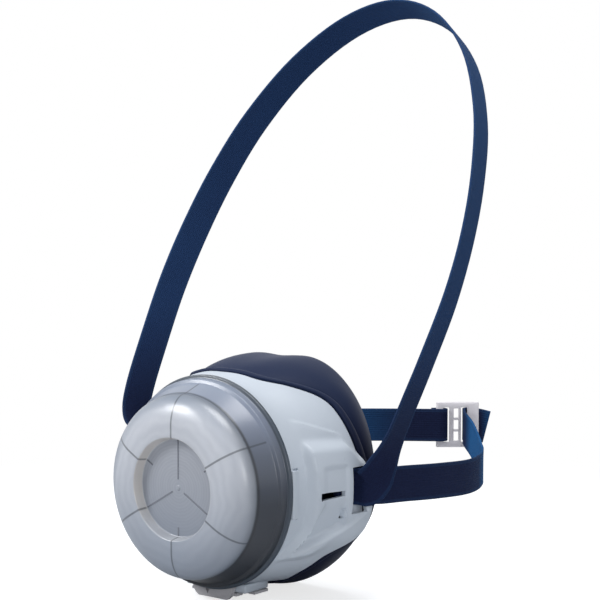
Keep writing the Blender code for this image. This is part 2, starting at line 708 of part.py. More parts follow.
def air_path():
    """The grid in front of the neck, the two valve seats and their rubber flaps."""
    placed_wheel("filter_grid", GRID_RADIUS, GRID_RIM, GRID_HUB, GRID_SPOKES, GRID_SPOKE, GRID_THICKNESS,
                 BULKHEAD_BACK - GAP - GRID_THICKNESS / 2)
    placed_wheel("inhalation_valve_seat", INHALE_SEAT_RADIUS, INHALE_SEAT_RIM, INHALE_SEAT_RIM, INHALE_SPOKES,
                 GRID_SPOKE, INHALE_SEAT_THICKNESS, NECK_END - INHALE_SEAT_THICKNESS / 2)
    flap("inhalation_valve_flap", INHALE_FLAP_RADIUS, NECK_END + GAP, 0.0, False)

    rim = EXHALE_SEAT_RADIUS
    front_lip = -EXHALE_FRONT_LIP
    rear = -EXHALE_SEAT_LENGTH
    rear_lip = rear + EXHALE_REAR_LIP
    ring = turned("exhalation_valve_seat",
                  [(EXHALE_FLANGE_RADIUS, 0.0), (EXHALE_FLANGE_RADIUS, front_lip), (rim, front_lip),
                   (rim, rear_lip), (EXHALE_FLANGE_RADIUS, rear_lip), (EXHALE_FLANGE_RADIUS, rear),
                   (EXHALE_BORE, rear), (EXHALE_BORE, 0.0)],
                  NATURAL, EXHALE_FACE_BACK, (0.0, -EXHALE_PORT_DOWN), steps=36, ring=True)
    reach = EXHALE_BORE + (EXHALE_SEAT_RADIUS - EXHALE_BORE) / 3
    half = EXHALE_SPOKE_HALF
    middle = (0.0, at_depth(EXHALE_FACE_BACK + EXHALE_SPOKE_DEPTH), -EXHALE_PORT_DOWN)
    for k in range(2):
        angle = math.pi / 4 + math.pi / 2 * k
        along = Vector((math.cos(angle), 0.0, math.sin(angle)))
        spoke = box(f"exhale_spoke_{k}", (-reach, -half, -half), (reach, half, half), None, CUTTERS)
        turn = Vector((1, 0, 0)).rotation_difference(along).to_matrix().to_4x4()
        spoke.matrix_world = Matrix.Translation(middle) @ turn
        boolean(ring, spoke, "UNION")
    flap("exhalation_valve_flap", EXHALE_FLAP_RADIUS, EXHALE_FACE_BACK - GAP, EXHALE_PORT_DOWN, True)


def flap(name, radius, face_back, down, forward):
    """A rubber disc that lies on its seat. It opens forward, or back towards the face."""
    nub = VALVE_NUB_RADIUS
    nub_top = VALVE_FLAP + VALVE_NUB_HEIGHT
    body = [(0.0, nub_top), (nub, nub_top), (nub, VALVE_FLAP), (radius, VALVE_FLAP), (radius, 0.0),
            (0.0, 0.0)]
    if not forward:
        body = [(r, VALVE_FLAP - f) for r, f in reversed(body)]
    base = face_back if forward else face_back + VALVE_FLAP
    turned(name, body, VALVE_SILICONE, base, (0.0, -down), steps=32)


# ---------------------------------------------------------------- housing shell


def mirrored_x(name, low, high):
    """The same cutting or joining box on both sides of the middle plane, the left one first."""
    other_low = (-high[0], low[1], low[2])
    other_high = (-low[0], high[1], high[2])
    return [box(f"{name}_left", low, high, None, CUTTERS),
            box(f"{name}_right", other_low, other_high, None, CUTTERS)]


def housing_shell():
    """The bell behind the cover, with a hood, a pocket and a slot for the strap on each side."""
    stations = (0.0, 0.08, 0.18, 0.28, 0.36, 0.46, 0.58, 0.70, 0.80, 0.90, 1.0)

    def back_at(share):
        return lambda angle: SHELL_FRONT + share * (seam_back(angle) - SHELL_FRONT)

    def outside(share):
        back = back_at(share)
        return lambda angle: shell_radius(angle, back(angle)) + hood_rise(angle, back(angle))

    def inside(share):
        outer = outside(share)
        return lambda angle: outer(angle) - SHELL_WALL

    outer_rings = [ring_at(outside(share), back_at(share)) for share in stations]
    inner_rings = [ring_at(inside(share), back_at(share)) for share in reversed(stations)]
    shell = grid_body("housing_shell", outer_rings + inner_rings, SHELL_GREY)

    boss_y = (at_depth(ANCHOR_BACK - BOSS_HALF_DEPTH), at_depth(ANCHOR_BACK + BOSS_HALF_DEPTH))
    for tag, low_z, high_z in (("upper", BOSS_INNER, BOSS_OUTER), ("lower", -BOSS_OUTER, -BOSS_INNER)):
        low = (ANCHOR_X - BOSS_TO_AXIS, boss_y[0], low_z)
        high = (ANCHOR_X + BOSS_TO_WALL, boss_y[1], high_z)
        for side, boss in zip((1, -1), mirrored_x(f"bar_boss_{tag}", low, high)):
            bore = rod(f"{boss.name}_bore", (side * ANCHOR_X, at_depth(ANCHOR_BACK), 0.0), (0, 0, 1),
                       ANCHOR_RADIUS + GAP, ANCHOR_HALF_LENGTH + GAP, group=CUTTERS)
            boolean(boss, bore, "DIFFERENCE")
            boolean(shell, boss, "UNION")
    latch_x = SHELL_FRONT_RADIUS + LATCH_RISE
    low = (latch_x - LATCH_THICKNESS, at_depth(GAP), -LATCH_DROP - LATCH_HALF_LENGTH)
    high = (latch_x, at_depth(LATCH_WIDTH), -LATCH_DROP + LATCH_HALF_LENGTH)
    for latch in mirrored_x("latch_tongue", low, high):
        boolean(shell, latch, "UNION")

    block = box("exhaust_block", (-EXHAUST_HALF_WIDTH, at_depth(EXHAUST_FRONT), -EXHAUST_BOTTOM),
                (EXHAUST_HALF_WIDTH, at_depth(EXHAUST_REAR), -EXHAUST_ROOT), None, CUTTERS)
    boolean(shell, block, "UNION")
    hinge_y = at_depth(EXHAUST_HINGE_BACK)
    hinge_z = -EXHAUST_BOTTOM - EXHAUST_HINGE_DROP
    lug = EXHAUST_HINGE_RADIUS
    ear_inner = EXHAUST_KNUCKLE_HALF + GAP
    for ear in mirrored_x("exhaust_ear", (ear_inner, hinge_y - lug, hinge_z - lug),
                          (ear_inner + EXHAUST_EAR, hinge_y + lug, -SHELL_FRONT_RADIUS + SHELL_WALL / 2)):
        bore = rod(f"{ear.name}_bore", (0.0, hinge_y, hinge_z), (1, 0, 0), EXHAUST_PIN_RADIUS + GAP,
                   2 * EXHAUST_HALF_WIDTH, group=CUTTERS, steps=12)
        boolean(ear, bore, "DIFFERENCE")
        boolean(shell, ear, "UNION")
    wide = EXHAUST_HALF_WIDTH - EXHAUST_WALL
    beyond = 3 * EXHAUST_WALL
    low = (-wide, at_depth(EXHAUST_FRONT + EXHAUST_WALL), -EXHAUST_BOTTOM - beyond)
    high = (wide, at_depth(EXHAUST_REAR - EXHAUST_WALL), -EXHAUST_ROOT + beyond)
    way_out = box("exhaust_opening", low, high, None, CUTTERS)
    boolean(shell, way_out, "DIFFERENCE")

    pocket = mirrored_x("strap_pocket", (POCKET_INNER_X, at_depth(POCKET_BACK), -POCKET_HALF_HEIGHT),
                        (SIDE_CUT_X, at_depth(RIM_TO_SEAL), POCKET_HALF_HEIGHT))
    slot = mirrored_x("side_slot", (POCKET_INNER_X, at_depth(SLOT_BACK), SLOT_LOW),
                      (SIDE_CUT_X, at_depth(SLOT_BACK + SLOT_LENGTH), SLOT_LOW + SLOT_HEIGHT))
    for cutter in pocket + slot:
        boolean(shell, cutter, "DIFFERENCE")
    return shell


# ---------------------------------------------------------------- exhaust cover


def exhaust_cover():
    """The tray under the chin. It swings down on a pin behind it, and its tab shows in front."""
    hinge_y = at_depth(EXHAUST_HINGE_BACK)
    hinge_z = -EXHAUST_BOTTOM - EXHAUST_HINGE_DROP
    top = -EXHAUST_BOTTOM - GAP
    front = at_depth(EXHAUST_FRONT - EXHAUST_OVERHANG)
    rear = hinge_y - EXHAUST_TRAY_TO_HINGE
    bottom = top - EXHAUST_COVER_THICKNESS
    half = EXHAUST_HALF_WIDTH
    tray = box("exhaust_cover", (-half, front, bottom), (half, rear, top), TAB_GREY)
    reach = box("exhaust_reach", (-EXHAUST_KNUCKLE_HALF, rear - EXHAUST_WALL / 2, bottom),
                (EXHAUST_KNUCKLE_HALF, hinge_y, top - EXHAUST_PIN_INSET), None, CUTTERS)
    boolean(tray, reach, "UNION")
    knuckle = rod("exhaust_knuckle", (0.0, hinge_y, hinge_z), (1, 0, 0), EXHAUST_HINGE_RADIUS - GAP / 3,
                  EXHAUST_KNUCKLE_HALF, group=CUTTERS)
    boolean(tray, knuckle, "UNION")

    tab_arc = COVER_RIM_RADIUS + GAP
    tab_low = bottom - EXHAUST_TAB_HANG
    corner = tab_low + EXHAUST_TAB_CORNER
    steps = 4
    arch = []
    for i in range(steps):
        x = EXHAUST_TAB_TOP_WIDTH * (i + 1) / steps
        arch.append((x, -math.sqrt(tab_arc * tab_arc - x * x)))
    side = (EXHAUST_TAB_TOP_WIDTH + EXHAUST_TAB_HALF_WIDTH) / 2
    right = [*arch, (side, corner), (EXHAUST_TAB_HALF_WIDTH, tab_low)]
    outline = [(0.0, -tab_arc), *right] + [(-x, z) for x, z in reversed(right)]
    tab_front = front - EXHAUST_TAB_THICKNESS / 2
    tab = upright_plate("exhaust_tab", outline, tab_front, tab_front + EXHAUST_TAB_THICKNESS)
    boolean(tray, tab, "UNION")
    for k, x in enumerate(EXHAUST_VENTS):
        low = (x - EXHAUST_VENT_HALF_WIDTH, at_depth(EXHAUST_VENT_FRONT), bottom - EXHAUST_WALL)
        high = (x + EXHAUST_VENT_HALF_WIDTH, at_depth(EXHAUST_VENT_REAR), top + EXHAUST_WALL)
        boolean(tray, box(f"exhaust_vent_{k}", low, high, None, CUTTERS), "DIFFERENCE")
    bore = rod("exhaust_knuckle_bore", (0.0, hinge_y, hinge_z), (1, 0, 0), EXHAUST_PIN_RADIUS + GAP / 2,
               2 * EXHAUST_HALF_WIDTH, group=CUTTERS, steps=12)
    boolean(tray, bore, "DIFFERENCE")
    tray.location = (0.0, hinge_y, hinge_z)
    tray.data.transform(Matrix.Translation((0.0, -hinge_y, -hinge_z)))
    rod("exhaust_hinge_pin", (0.0, hinge_y, hinge_z), (1, 0, 0), EXHAUST_PIN_RADIUS,
        EXHAUST_KNUCKLE_HALF + GAP + EXHAUST_EAR - EXHAUST_PIN_INSET, STEEL, steps=12)


def upright_plate(name, outline, front_y, rear_y):
    """A plate that faces forward, for joining: the outline lists (x, z)."""
    points = [(x, y, z) for y in (front_y, rear_y) for x, z in outline]
    count = len(outline)
    faces = [tuple(range(count)), tuple(range(2 * count - 1, count - 1, -1))]
    faces += [(i, count + i, count + (i + 1) % count, (i + 1) % count) for i in range(count)]
    mesh = mesh_of(name, points, faces)
    body = bmesh.new()
    body.from_mesh(mesh)
    bmesh.ops.recalc_face_normals(body, faces=body.faces)
    body.to_mesh(mesh)
    body.free()
    return add_object(name, mesh, None, CUTTERS)


# ---------------------------------------------------------------- facepiece


def nose_share(angle, spread):
    """1 on the nose's line and next to nothing beyond a spread in degrees on each side of it."""
    off = math.degrees(angle) % 360 - 90
    return math.exp(-(off / spread) ** 2)


def face_radius(angle):
    """Outer radius of the facepiece at its rearmost rim, drawn in over the nose and narrower at the chin."""
    power = FACE_UPPER_POWER if math.sin(angle) >= 0 else FACE_LOWER_POWER
    radius = oval(angle, FACE_HALF_WIDTH, FACE_TOP, FACE_BOTTOM, power)
    return radius - NOSE_NOTCH * nose_share(angle, NOSE_NOTCH_ANGLE)


def opening_radius(angle):
    """Radius of the opening that the face goes into."""
    radius = oval(angle, FACE_OPENING_WIDTH, FACE_OPENING_TOP, FACE_OPENING_BOTTOM, 2.0)
    return radius - NOSE_NOTCH * nose_share(angle, 1.5 * NOSE_NOTCH_ANGLE)


def seam_radius(angle):
    return shell_radius(angle, seam_back(angle))


def fixed(value):
    return lambda angle: value


def beside_seam(out, behind):
    """A ring of the facepiece that follows the shell's rear edge."""
    return (lambda angle: seam_radius(angle) + out, lambda angle: seam_back(angle) + behind)


def cup_wall(share, inward=0.0):
    """A ring between the bead's groove and the rear rim, where the cheeks swell out."""
    def radius(angle):
        low = seam_radius(angle) + BEAD_GROOVE
        return low + (face_radius(angle) - low) * share + CHEEK_SWELL * math.sin(math.pi * share) - inward

    def back(angle):
        low = seam_back(angle) + BEAD_LENGTH
        return low + (RIM_TO_SEAL - FACE_RIM_ROUND - low) * share
    return radius, back


def inside_rim(inward, ahead):
    """A ring inside the rear rim, ahead of the plane that rests on the face."""
    return (lambda angle: face_radius(angle) - inward, fixed(RIM_TO_SEAL - ahead))


def lip(outward, ahead):
    """A ring at the edge of the opening."""
    return (lambda angle: opening_radius(angle) + outward, fixed(RIM_TO_SEAL - ahead))


def lip_middle(outward, ahead):
    """A ring halfway across the soft lip."""
    def radius(angle):
        return (face_radius(angle) + opening_radius(angle)) / 2 + outward
    return radius, fixed(RIM_TO_SEAL - ahead)


def facepiece():
    """The rubber cup: a cuff on the neck, a dished front wall, a bead round the shell, and the face seal."""
    wall = FACEPIECE_WALL
    cuff_end = CUFF_FRONT + CUFF_LENGTH
    lip_root = wall + FACE_RIM_ROUND
    outer = [
        (fixed(CUFF_INNER_RADIUS), fixed(CUFF_FRONT)),
        (fixed(CUFF_OUTER_RADIUS), fixed(CUFF_FRONT)),
        (fixed(CUFF_OUTER_RADIUS), fixed(cuff_end - wall / 2)),
        beside_seam(-SHELL_WALL - wall / 2, FACEPIECE_TO_SHELL),
        beside_seam(2 * BEAD_GROOVE, GAP),
        beside_seam(BEAD_RISE, BEAD_ROUND),
        beside_seam(BEAD_RISE, BEAD_LENGTH - BEAD_ROUND),
        beside_seam(BEAD_GROOVE, BEAD_LENGTH),
        cup_wall(0.25),
        cup_wall(0.5),
        cup_wall(0.8),
        inside_rim(0.0, FACE_RIM_ROUND),
    ]
    inner = [
        inside_rim(wall, 0.0),
        lip_middle(0.0, FACE_LIP_DIP),
        lip(0.0, FACE_LIP_DEPTH),
        lip(FACE_LIP_THICKNESS / 3, FACE_LIP_DEPTH + FACE_LIP_THICKNESS),
        lip_middle(FACE_LIP_THICKNESS / 3, FACE_LIP_DIP + 1.5 * FACE_LIP_THICKNESS),
        inside_rim(lip_root, lip_root),
        cup_wall(0.7, wall),
        cup_wall(0.35, wall),
        beside_seam(-SHELL_WALL - wall, FACEPIECE_TO_SHELL + 1.5 * wall),
        (fixed(NECK_LIP_RADIUS + wall), fixed(cuff_end + wall / 2)),
        (fixed(CUFF_INNER_RADIUS), fixed(cuff_end)),
    ]
    cup = grid_body("facepiece", [ring_at(radius, back) for radius, back in outer + inner], NAVY_RUBBER)
    reach = 2 * wall
    port = rod("exhale_port", (0.0, at_depth(EXHALE_FACE_BACK + reach), -EXHALE_PORT_DOWN), (0, 1, 0),
               EXHALE_PORT_RADIUS, 1.5 * reach, group=CUTTERS, steps=36)
    boolean(cup, port, "DIFFERENCE")
    turned("facepiece_clamp_ring",
           [(CLAMP_OUTER_RADIUS, 0.0), (CLAMP_OUTER_RADIUS, -CLAMP_LENGTH),
            (CLAMP_INNER_RADIUS, -CLAMP_LENGTH), (CLAMP_INNER_RADIUS, 0.0)],
           NATURAL, CUFF_FRONT + GAP, ring=True)
    return cup


# ---------------------------------------------------------------- straps


def strap_across(point, lean_share):
    """The direction of the head strap's width: upright at its ends, then square to the leaning loop."""
    side = 1 if point.x >= 0 else -1
    twist = STRAP_TWIST * lean_share
    leaning = Vector((side * math.sin(twist), -math.cos(twist) * math.cos(STRAP_LEAN),
                      math.cos(twist) * math.sin(STRAP_LEAN)))
    return Vector((0.0, 0.0, 1.0)).lerp(leaning, ramp(point.z, STRAP_TURN_START, STRAP_TURN_END))


def beside_anchor(route, held):
    """A route's points, moved out with the side bars. held gives the share of that for each point."""
    side = 1 if route[0][0] > 0 else -1
    moved = side * (ANCHOR_X - ROUTE_ANCHOR_X)
    return [Vector((x + moved * held((x, y, z)), y, z)) for x, y, z in route]


def head_strap():
    """One band from the left anchor over the head to the right anchor."""
    top = HEAD_ARCH[-1][2]

    def held(point):
        return 1 - ramp(point[2], top / 2, top)

    mirrored = tuple((-x, y, z) for x, y, z in HEAD_ARCH[:-1])
    left = beside_anchor(HEAD_LEFT_START + HEAD_ARCH, held)
    right = beside_anchor(HEAD_RIGHT_START + mirrored, held)
    route = curve_through(left + right[::-1], 2)
    across = [strap_across(point, 1 - ramp(point.z, 0.4 * top, top)) for point in route]
    return ribbon("head_strap", route, across, NAVY_WEBBING)


def buckle_point(along, out, up=0.0):
    """A point given in the buckle's own directions: along the strap, towards the neck, and up."""
    centre = Vector(BUCKLE_CENTRE)
    length = Vector((math.cos(BUCKLE_TURN), math.sin(BUCKLE_TURN), 0.0))
    normal = Vector((math.sin(BUCKLE_TURN), -math.cos(BUCKLE_TURN), 0.0))
    return centre + length * along + normal * out + Vector((0.0, 0.0, up))


def rectangle(low_x, high_x, low_y, high_y):
    return [(low_x, low_y), (high_x, low_y), (high_x, high_y), (low_x, high_y)]


def rounded(half_x, half_y, radius, steps=4):
    points = []
    for k, (sx, sy) in enumerate(((1, 1), (-1, 1), (-1, -1), (1, -1))):
        for i in range(steps + 1):
            angle = math.pi / 2 * (k + i / steps)
            points.append((sx * (half_x - radius) + radius * math.cos(angle),
                           sy * (half_y - radius) + radius * math.sin(angle)))
    return points


def buckle():
    """The ladder plate that joins the two neck straps."""
    half = BUCKLE_SLOT_HALF_HEIGHT
    holes = [rectangle(low, high, -half, half) for low, high in BUCKLE_STRAP_SLOTS]
    low, high = BUCKLE_TIED_SLOT
    step = 2 * half / 3
    for k in range(3):
        bottom = -half + step * k + BUCKLE_TIE / 2
        holes.append(rectangle(low, high, bottom, bottom + step - BUCKLE_TIE))
    edge = rounded(BUCKLE_HALF_LENGTH, BUCKLE_HALF_HEIGHT, BUCKLE_CORNER)
    plate = plate_to_mesh(flat_plate("strap_buckle", [edge, *holes], BUCKLE_THICKNESS, NATURAL))
    plate.rotation_euler = (math.pi / 2, 0.0, BUCKLE_TURN)
    plate.location = BUCKLE_CENTRE
    return plate


def neck_straps():
    """The left strap runs through the buckle, its tail behind it. The right one is looped on a bar."""
    up = Vector((0.0, 0.0, 1.0))
    at_buckle = BUCKLE_CENTRE[1]

    def held(point):
        return 1 - ramp(point[1], 0.0, 0.8 * at_buckle)

    slot = sum(BUCKLE_STRAP_SLOTS[1]) / 2
    left = beside_anchor(NECK_LEFT_ROUTE, held) + [buckle_point(slot + along, out, rise)
                                                   for along, out, rise in NECK_TAIL]
    route = curve_through(left, 3)
    ribbon("neck_strap_left", route, [up] * len(route), NAVY_WEBBING)

    slot = sum(BUCKLE_STRAP_SLOTS[0]) / 2
    right = beside_anchor(NECK_RIGHT_ROUTE, held) + [buckle_point(slot + along, out)
                                                     for along, out in NECK_LOOP]
    route = curve_through(right, 3)
    ribbon("neck_strap_right", route, [up] * len(route), NAVY_WEBBING)


def anchors():
    """On each side a steel bar in the shell's bosses, and the turn of webbing round it."""
    bar_y = at_depth(ANCHOR_BACK)
    reach = ANCHOR_RADIUS + GAP + STRAP_THICKNESS / 2
    turn = [(ANCHOR_X + reach * math.cos(math.radians(a)), bar_y - reach * math.sin(math.radians(a)), 0.0)
            for a in (0, 45, 90, 135, 180)]
    outer = [(ANCHOR_X + x, bar_y + y, z) for x, y, z in WRAP_OUTER]
    inner = [(ANCHOR_X + x, bar_y + y, z) for x, y, z in WRAP_INNER]
    points = curve_through([Vector(point) for point in outer + turn + inner], 2)
    up = Vector((0.0, 0.0, 1.0))
    for side, name in ((1, "left"), (-1, "right")):
        rod(f"strap_bar_{name}", (side * ANCHOR_X, bar_y, 0.0), (0, 0, 1), ANCHOR_RADIUS,
            ANCHOR_HALF_LENGTH, STEEL, steps=16)
        route = [Vector((side * p.x, p.y, p.z)) for p in points]
        ribbon(f"strap_wrap_{name}", route, [up] * len(route), NAVY_WEBBING, width=STRAP_WIDTH - GAP)


def main():
    filter_cover()
    filter_parts()
    inner_body()
    air_path()
    housing_shell()
    exhaust_cover()
    facepiece()
    head_strap()
    buckle()
    neck_straps()
    anchors()


main()
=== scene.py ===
"""Looks of a half-mask respirator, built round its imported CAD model.

The wearer faces -Y, +X is the wearer's left and +Z is up, in metres. Depths called "back" run from the plane
of the filter cover's rear rim towards the face, which touches the rubber at back = 60 mm.
"""

import math

import bmesh
import bpy
from mathutils import Matrix, Vector


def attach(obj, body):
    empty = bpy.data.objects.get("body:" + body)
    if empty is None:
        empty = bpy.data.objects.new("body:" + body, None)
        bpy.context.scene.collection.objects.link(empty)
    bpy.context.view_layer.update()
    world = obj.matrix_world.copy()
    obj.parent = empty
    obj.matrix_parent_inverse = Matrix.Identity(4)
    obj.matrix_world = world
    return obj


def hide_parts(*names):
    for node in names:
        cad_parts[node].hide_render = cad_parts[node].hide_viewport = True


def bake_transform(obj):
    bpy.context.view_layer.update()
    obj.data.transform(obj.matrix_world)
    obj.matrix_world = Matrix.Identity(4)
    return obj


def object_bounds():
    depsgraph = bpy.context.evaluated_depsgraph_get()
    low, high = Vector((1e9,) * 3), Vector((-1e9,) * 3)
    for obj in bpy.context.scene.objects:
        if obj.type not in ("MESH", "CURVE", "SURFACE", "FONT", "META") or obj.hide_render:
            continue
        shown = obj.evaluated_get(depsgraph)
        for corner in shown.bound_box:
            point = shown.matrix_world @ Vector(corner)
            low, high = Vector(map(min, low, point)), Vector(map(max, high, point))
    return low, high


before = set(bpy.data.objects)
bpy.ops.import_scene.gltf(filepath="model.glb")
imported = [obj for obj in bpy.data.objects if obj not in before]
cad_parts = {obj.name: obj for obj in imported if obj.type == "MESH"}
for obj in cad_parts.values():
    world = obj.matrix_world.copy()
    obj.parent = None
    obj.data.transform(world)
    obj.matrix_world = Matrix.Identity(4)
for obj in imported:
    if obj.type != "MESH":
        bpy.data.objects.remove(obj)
cad_box = [list(corner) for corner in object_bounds()]


# ================================================================ camera, lamps and table
# A product shot: the mask stands on a white table in front of a white wall. One large soft lamp is high on
# the left, a second one hangs above, and a weak third one keeps the right side from going black.

CAMERA_TURN = math.radians(38.28)
CAMERA_RISE = math.radians(4.15)
CAMERA_DISTANCE = 0.850
CAMERA_ASIDE = 0.0444
CAMERA_ABOVE = 0.0886
CAMERA_LENS = 104.55
RIM_TO_SEAL = 0.060


def add_object(name, data):
    made = bpy.data.objects.new(name, data)
    bpy.context.scene.collection.objects.link(made)
    return made


level = math.cos(CAMERA_RISE)
forward = Vector((math.sin(CAMERA_TURN) * level, -math.cos(CAMERA_TURN) * level, math.sin(CAMERA_RISE)))
aside = Vector((math.cos(CAMERA_TURN), math.sin(CAMERA_TURN), 0.0))
above = forward.cross(aside)
place = aside * CAMERA_ASIDE + above * CAMERA_ABOVE + forward * CAMERA_DISTANCE
place -= Vector((0.0, RIM_TO_SEAL, 0.0))
camera_data = bpy.data.cameras.new("camera")
camera_data.lens = CAMERA_LENS
camera_data.sensor_width = 36.0
camera = add_object("camera", camera_data)
camera.matrix_world = Matrix.Translation(place) @ Matrix((aside, above, forward)).transposed().to_4x4()
bpy.context.scene.camera = camera
bpy.context.scene.view_settings.view_transform = "Standard"


def linear(code):
    """An sRGB hex colour as the linear RGBA that a shader takes."""
    channels = [int(code[i:i + 2], 16) / 255 for i in (1, 3, 5)]
    return [c / 12.92 if c <= 0.04045 else ((c + 0.055) / 1.055) ** 2.4 for c in channels] + [1.0]


def fill(made, inputs):
    """Sets a shader node's inputs. Each is a number, a colour or another node's output."""
    for name, value in inputs.items():
        if isinstance(value, bpy.types.NodeSocket):
            made.id_data.links.new(value, made.inputs[name])
        else:
            made.inputs[name].default_value = value


def node(tree, kind, inputs=None, **settings):
    """Adds a shader node with its settings and inputs."""
    made = tree.nodes.new("ShaderNode" + kind)
    for name, value in settings.items():
        setattr(made, name, value)
    fill(made, inputs or {})
    return made


def calc(tree, operation, *values):
    """The result of a Math node."""
    return node(tree, "Math", dict(enumerate(values)), operation=operation).outputs[0]


def product(tree, value, *factors):
    """A value multiplied by each of the others."""
    for factor in factors:
        value = calc(tree, "MULTIPLY", value, factor)
    return value


def fade(tree, value, low, high, start=0.0, end=1.0, kind="LINEAR"):
    """A value that goes from start to end as the given one goes from low to high."""
    inputs = {"Value": value, "From Min": low, "From Max": high, "To Min": start, "To Max": end}
    return node(tree, "MapRange", inputs, interpolation_type=kind).outputs[0]


def soft_fade(*values):
    return fade(*values, kind="SMOOTHSTEP")


def lamp(name, where, towards, size, power):
    """A round white lamp; size is its diameter and power is in watts."""
    data = bpy.data.lights.new(name, "AREA")
    data.shape = "DISK"
    data.size = size
    data.energy = power
    made = add_object(name, data)
    turn = (Vector(where) - Vector(towards)).to_track_quat("Z", "Y")
    made.matrix_world = Matrix.Translation(where) @ turn.to_matrix().to_4x4()


lamp("key_lamp", (-0.75, -0.85, 0.75), (0.0, 0.0, 0.02), 0.50, 10.5)
lamp("top_lamp", (0.15, -0.10, 1.10), (0.0, 0.0, 0.0), 0.70, 8.0)
lamp("side_lamp", (1.10, -0.75, 0.35), (0.0, 0.0, 0.0), 0.50, 3.0)

world = bpy.data.worlds.new("white_room")
world.use_nodes = True
bpy.context.scene.world = world
tree = world.node_tree
tree.nodes.clear()
path = node(tree, "LightPath")
seen = calc(tree, "MAXIMUM", path.outputs["Is Camera Ray"], path.outputs["Is Glossy Ray"])
seen = calc(tree, "MAXIMUM", seen, path.outputs["Is Transmission Ray"])
room = node(tree, "Background", {"Color": linear("#e9eef6"), "Strength": 0.33})
white = node(tree, "Background", {"Color": linear("#ffffff"), "Strength": 1.0})
mixed = node(tree, "MixShader", {0: seen, 1: room.outputs[0], 2: white.outputs[0]})
node(tree, "OutputWorld", {"Surface": mixed.outputs[0]})

table_surface = bpy.data.materials.new("white_melamine_table")
table_surface.use_nodes = True
tree = table_surface.node_tree
tree.nodes.clear()
path = node(tree, "LightPath")
board = node(tree, "BsdfDiffuse", {"Color": linear("#c6c8cb")})
glow = node(tree, "Emission", {"Color": linear("#ffffff"), "Strength": 0.72})
lit = node(tree, "AddShader", {0: board.outputs[0], 1: glow.outputs[0]})
# Beyond the mask's own shadow the white table runs into the white wall with no line between them
spot = node(tree, "TexCoord").outputs["Object"]
from_mask = node(tree, "VectorMath", {0: spot}, operation="LENGTH").outputs["Value"]
far = soft_fade(tree, from_mask, 0.16, 0.42)
wall = node(tree, "Emission", {"Color": linear("#ffffff"), "Strength": 1.0})
shown = node(tree, "MixShader", {0: far, 1: lit.outputs[0], 2: wall.outputs[0]})
mixed = node(tree, "MixShader", {0: path.outputs["Is Camera Ray"], 1: board.outputs[0], 2: shown.outputs[0]})
node(tree, "OutputMaterial", {"Surface": mixed.outputs[0]})

TABLE_HALF = 3.0
table_mesh = bpy.data.meshes.new("table")
table_z = cad_box[0][2] - 0.0005
corners = [(x * TABLE_HALF, y * TABLE_HALF, table_z) for x, y in ((-1, -1), (1, -1), (1, 1), (-1, 1))]
table_mesh.from_pydata(corners, [], [(0, 1, 2, 3)])
table = add_object("table", table_mesh)
table_mesh.materials.append(table_surface)


# ================================================================ filter cover
# One injection moulding of smoke-tinted polycarbonate, frosted by a fine texture in the mould. It is a dome
# with a sunk middle and six thin ribs on its inner face, and its rim snaps over the shell's latch tongues.

COVER_RIM_RADIUS = 0.0525
COVER_SKIRT_RADIUS = 0.0507
COVER_WALL_RADIUS = 0.0488
COVER_EDGE_RADIUS = 0.0449
COVER_EDGE_HEIGHT = 0.0174
COVER_HEIGHT = 0.0274
COVER_LAND_RADIUS = 0.0300
COVER_RECESS_RADIUS = 0.0246
COVER_RECESS_DEPTH = 0.0052
COVER_WALL = 0.0017
COVER_RIB_WIDTH = 0.0008
COVER_RIBS = 6


def new_material(name):
    """A Principled material: itself, its node tree, its shader and the object's own coordinates."""
    made = bpy.data.materials.new(name)
    made.use_nodes = True
    tree = made.node_tree
    return made, tree, tree.nodes["Principled BSDF"], node(tree, "TexCoord").outputs["Object"]


def mix(tree, share, first, second):
    """A colour between two, each a hex code or another node's output."""
    colours = [linear(colour) if isinstance(colour, str) else colour for colour in (first, second)]
    return node(tree, "Mix", {0: share, 6: colours[0], 7: colours[1]}, data_type="RGBA").outputs[2]


def noise(tree, spot, size, detail):
    """Noise with features of a size in metres."""
    return node(tree, "TexNoise", {"Vector": spot, "Scale": 1 / size, "Detail": detail}).outputs["Fac"]


def mottled(tree, spot, size, detail, first, second):
    """Two colours in soft patches of a size in metres."""
    return mix(tree, noise(tree, spot, size, detail), first, second)


def wave_rings(tree, spot, gap, distortion):
    """Rings about the mask's axis, a gap apart. At scale 1 the texture has 20 / tau rings to the metre."""
    inputs = {"Vector": spot, "Scale": math.tau / 20 / gap, "Distortion": distortion, "Detail": 2.0}
    return node(tree, "TexWave", inputs, wave_type="RINGS", rings_direction="Y").outputs["Fac"]


def bump(tree, height, strength, distance):
    return node(tree, "Bump", {"Height": height, "Strength": strength, "Distance": distance}).outputs[0]


def piece(name, points, faces, skin=None, body=None, stands_for=(), sharp=40):
    """A closed mesh. With a body named, it rides on that body of the CAD model."""
    mesh = bpy.data.meshes.new(name)
    mesh.from_pydata([tuple(p) for p in points], [], faces)
    work = bmesh.new()
    work.from_mesh(mesh)
    bmesh.ops.remove_doubles(work, verts=work.verts, dist=0.000001)
    bmesh.ops.recalc_face_normals(work, faces=work.faces)
    if work.calc_volume(signed=True) < 0:
        bmesh.ops.reverse_faces(work, faces=work.faces)
    work.to_mesh(mesh)
    work.free()
    made = add_object(name, mesh)
    if skin:
        mesh.materials.append(skin)
    smooth(made, sharp)
    if body:
        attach(made, body)
        if stands_for:
            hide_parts(*stands_for)
    return made


def smooth(made, sharp):
    """Smooth shading, broken at edges that are sharper than an angle in degrees."""
    made.data.shade_smooth()
    made.data.set_sharp_from_angle(angle=math.radians(sharp))


def at_depth(back):
    """World Y of a depth behind the cover's rim."""
    return back - RIM_TO_SEAL


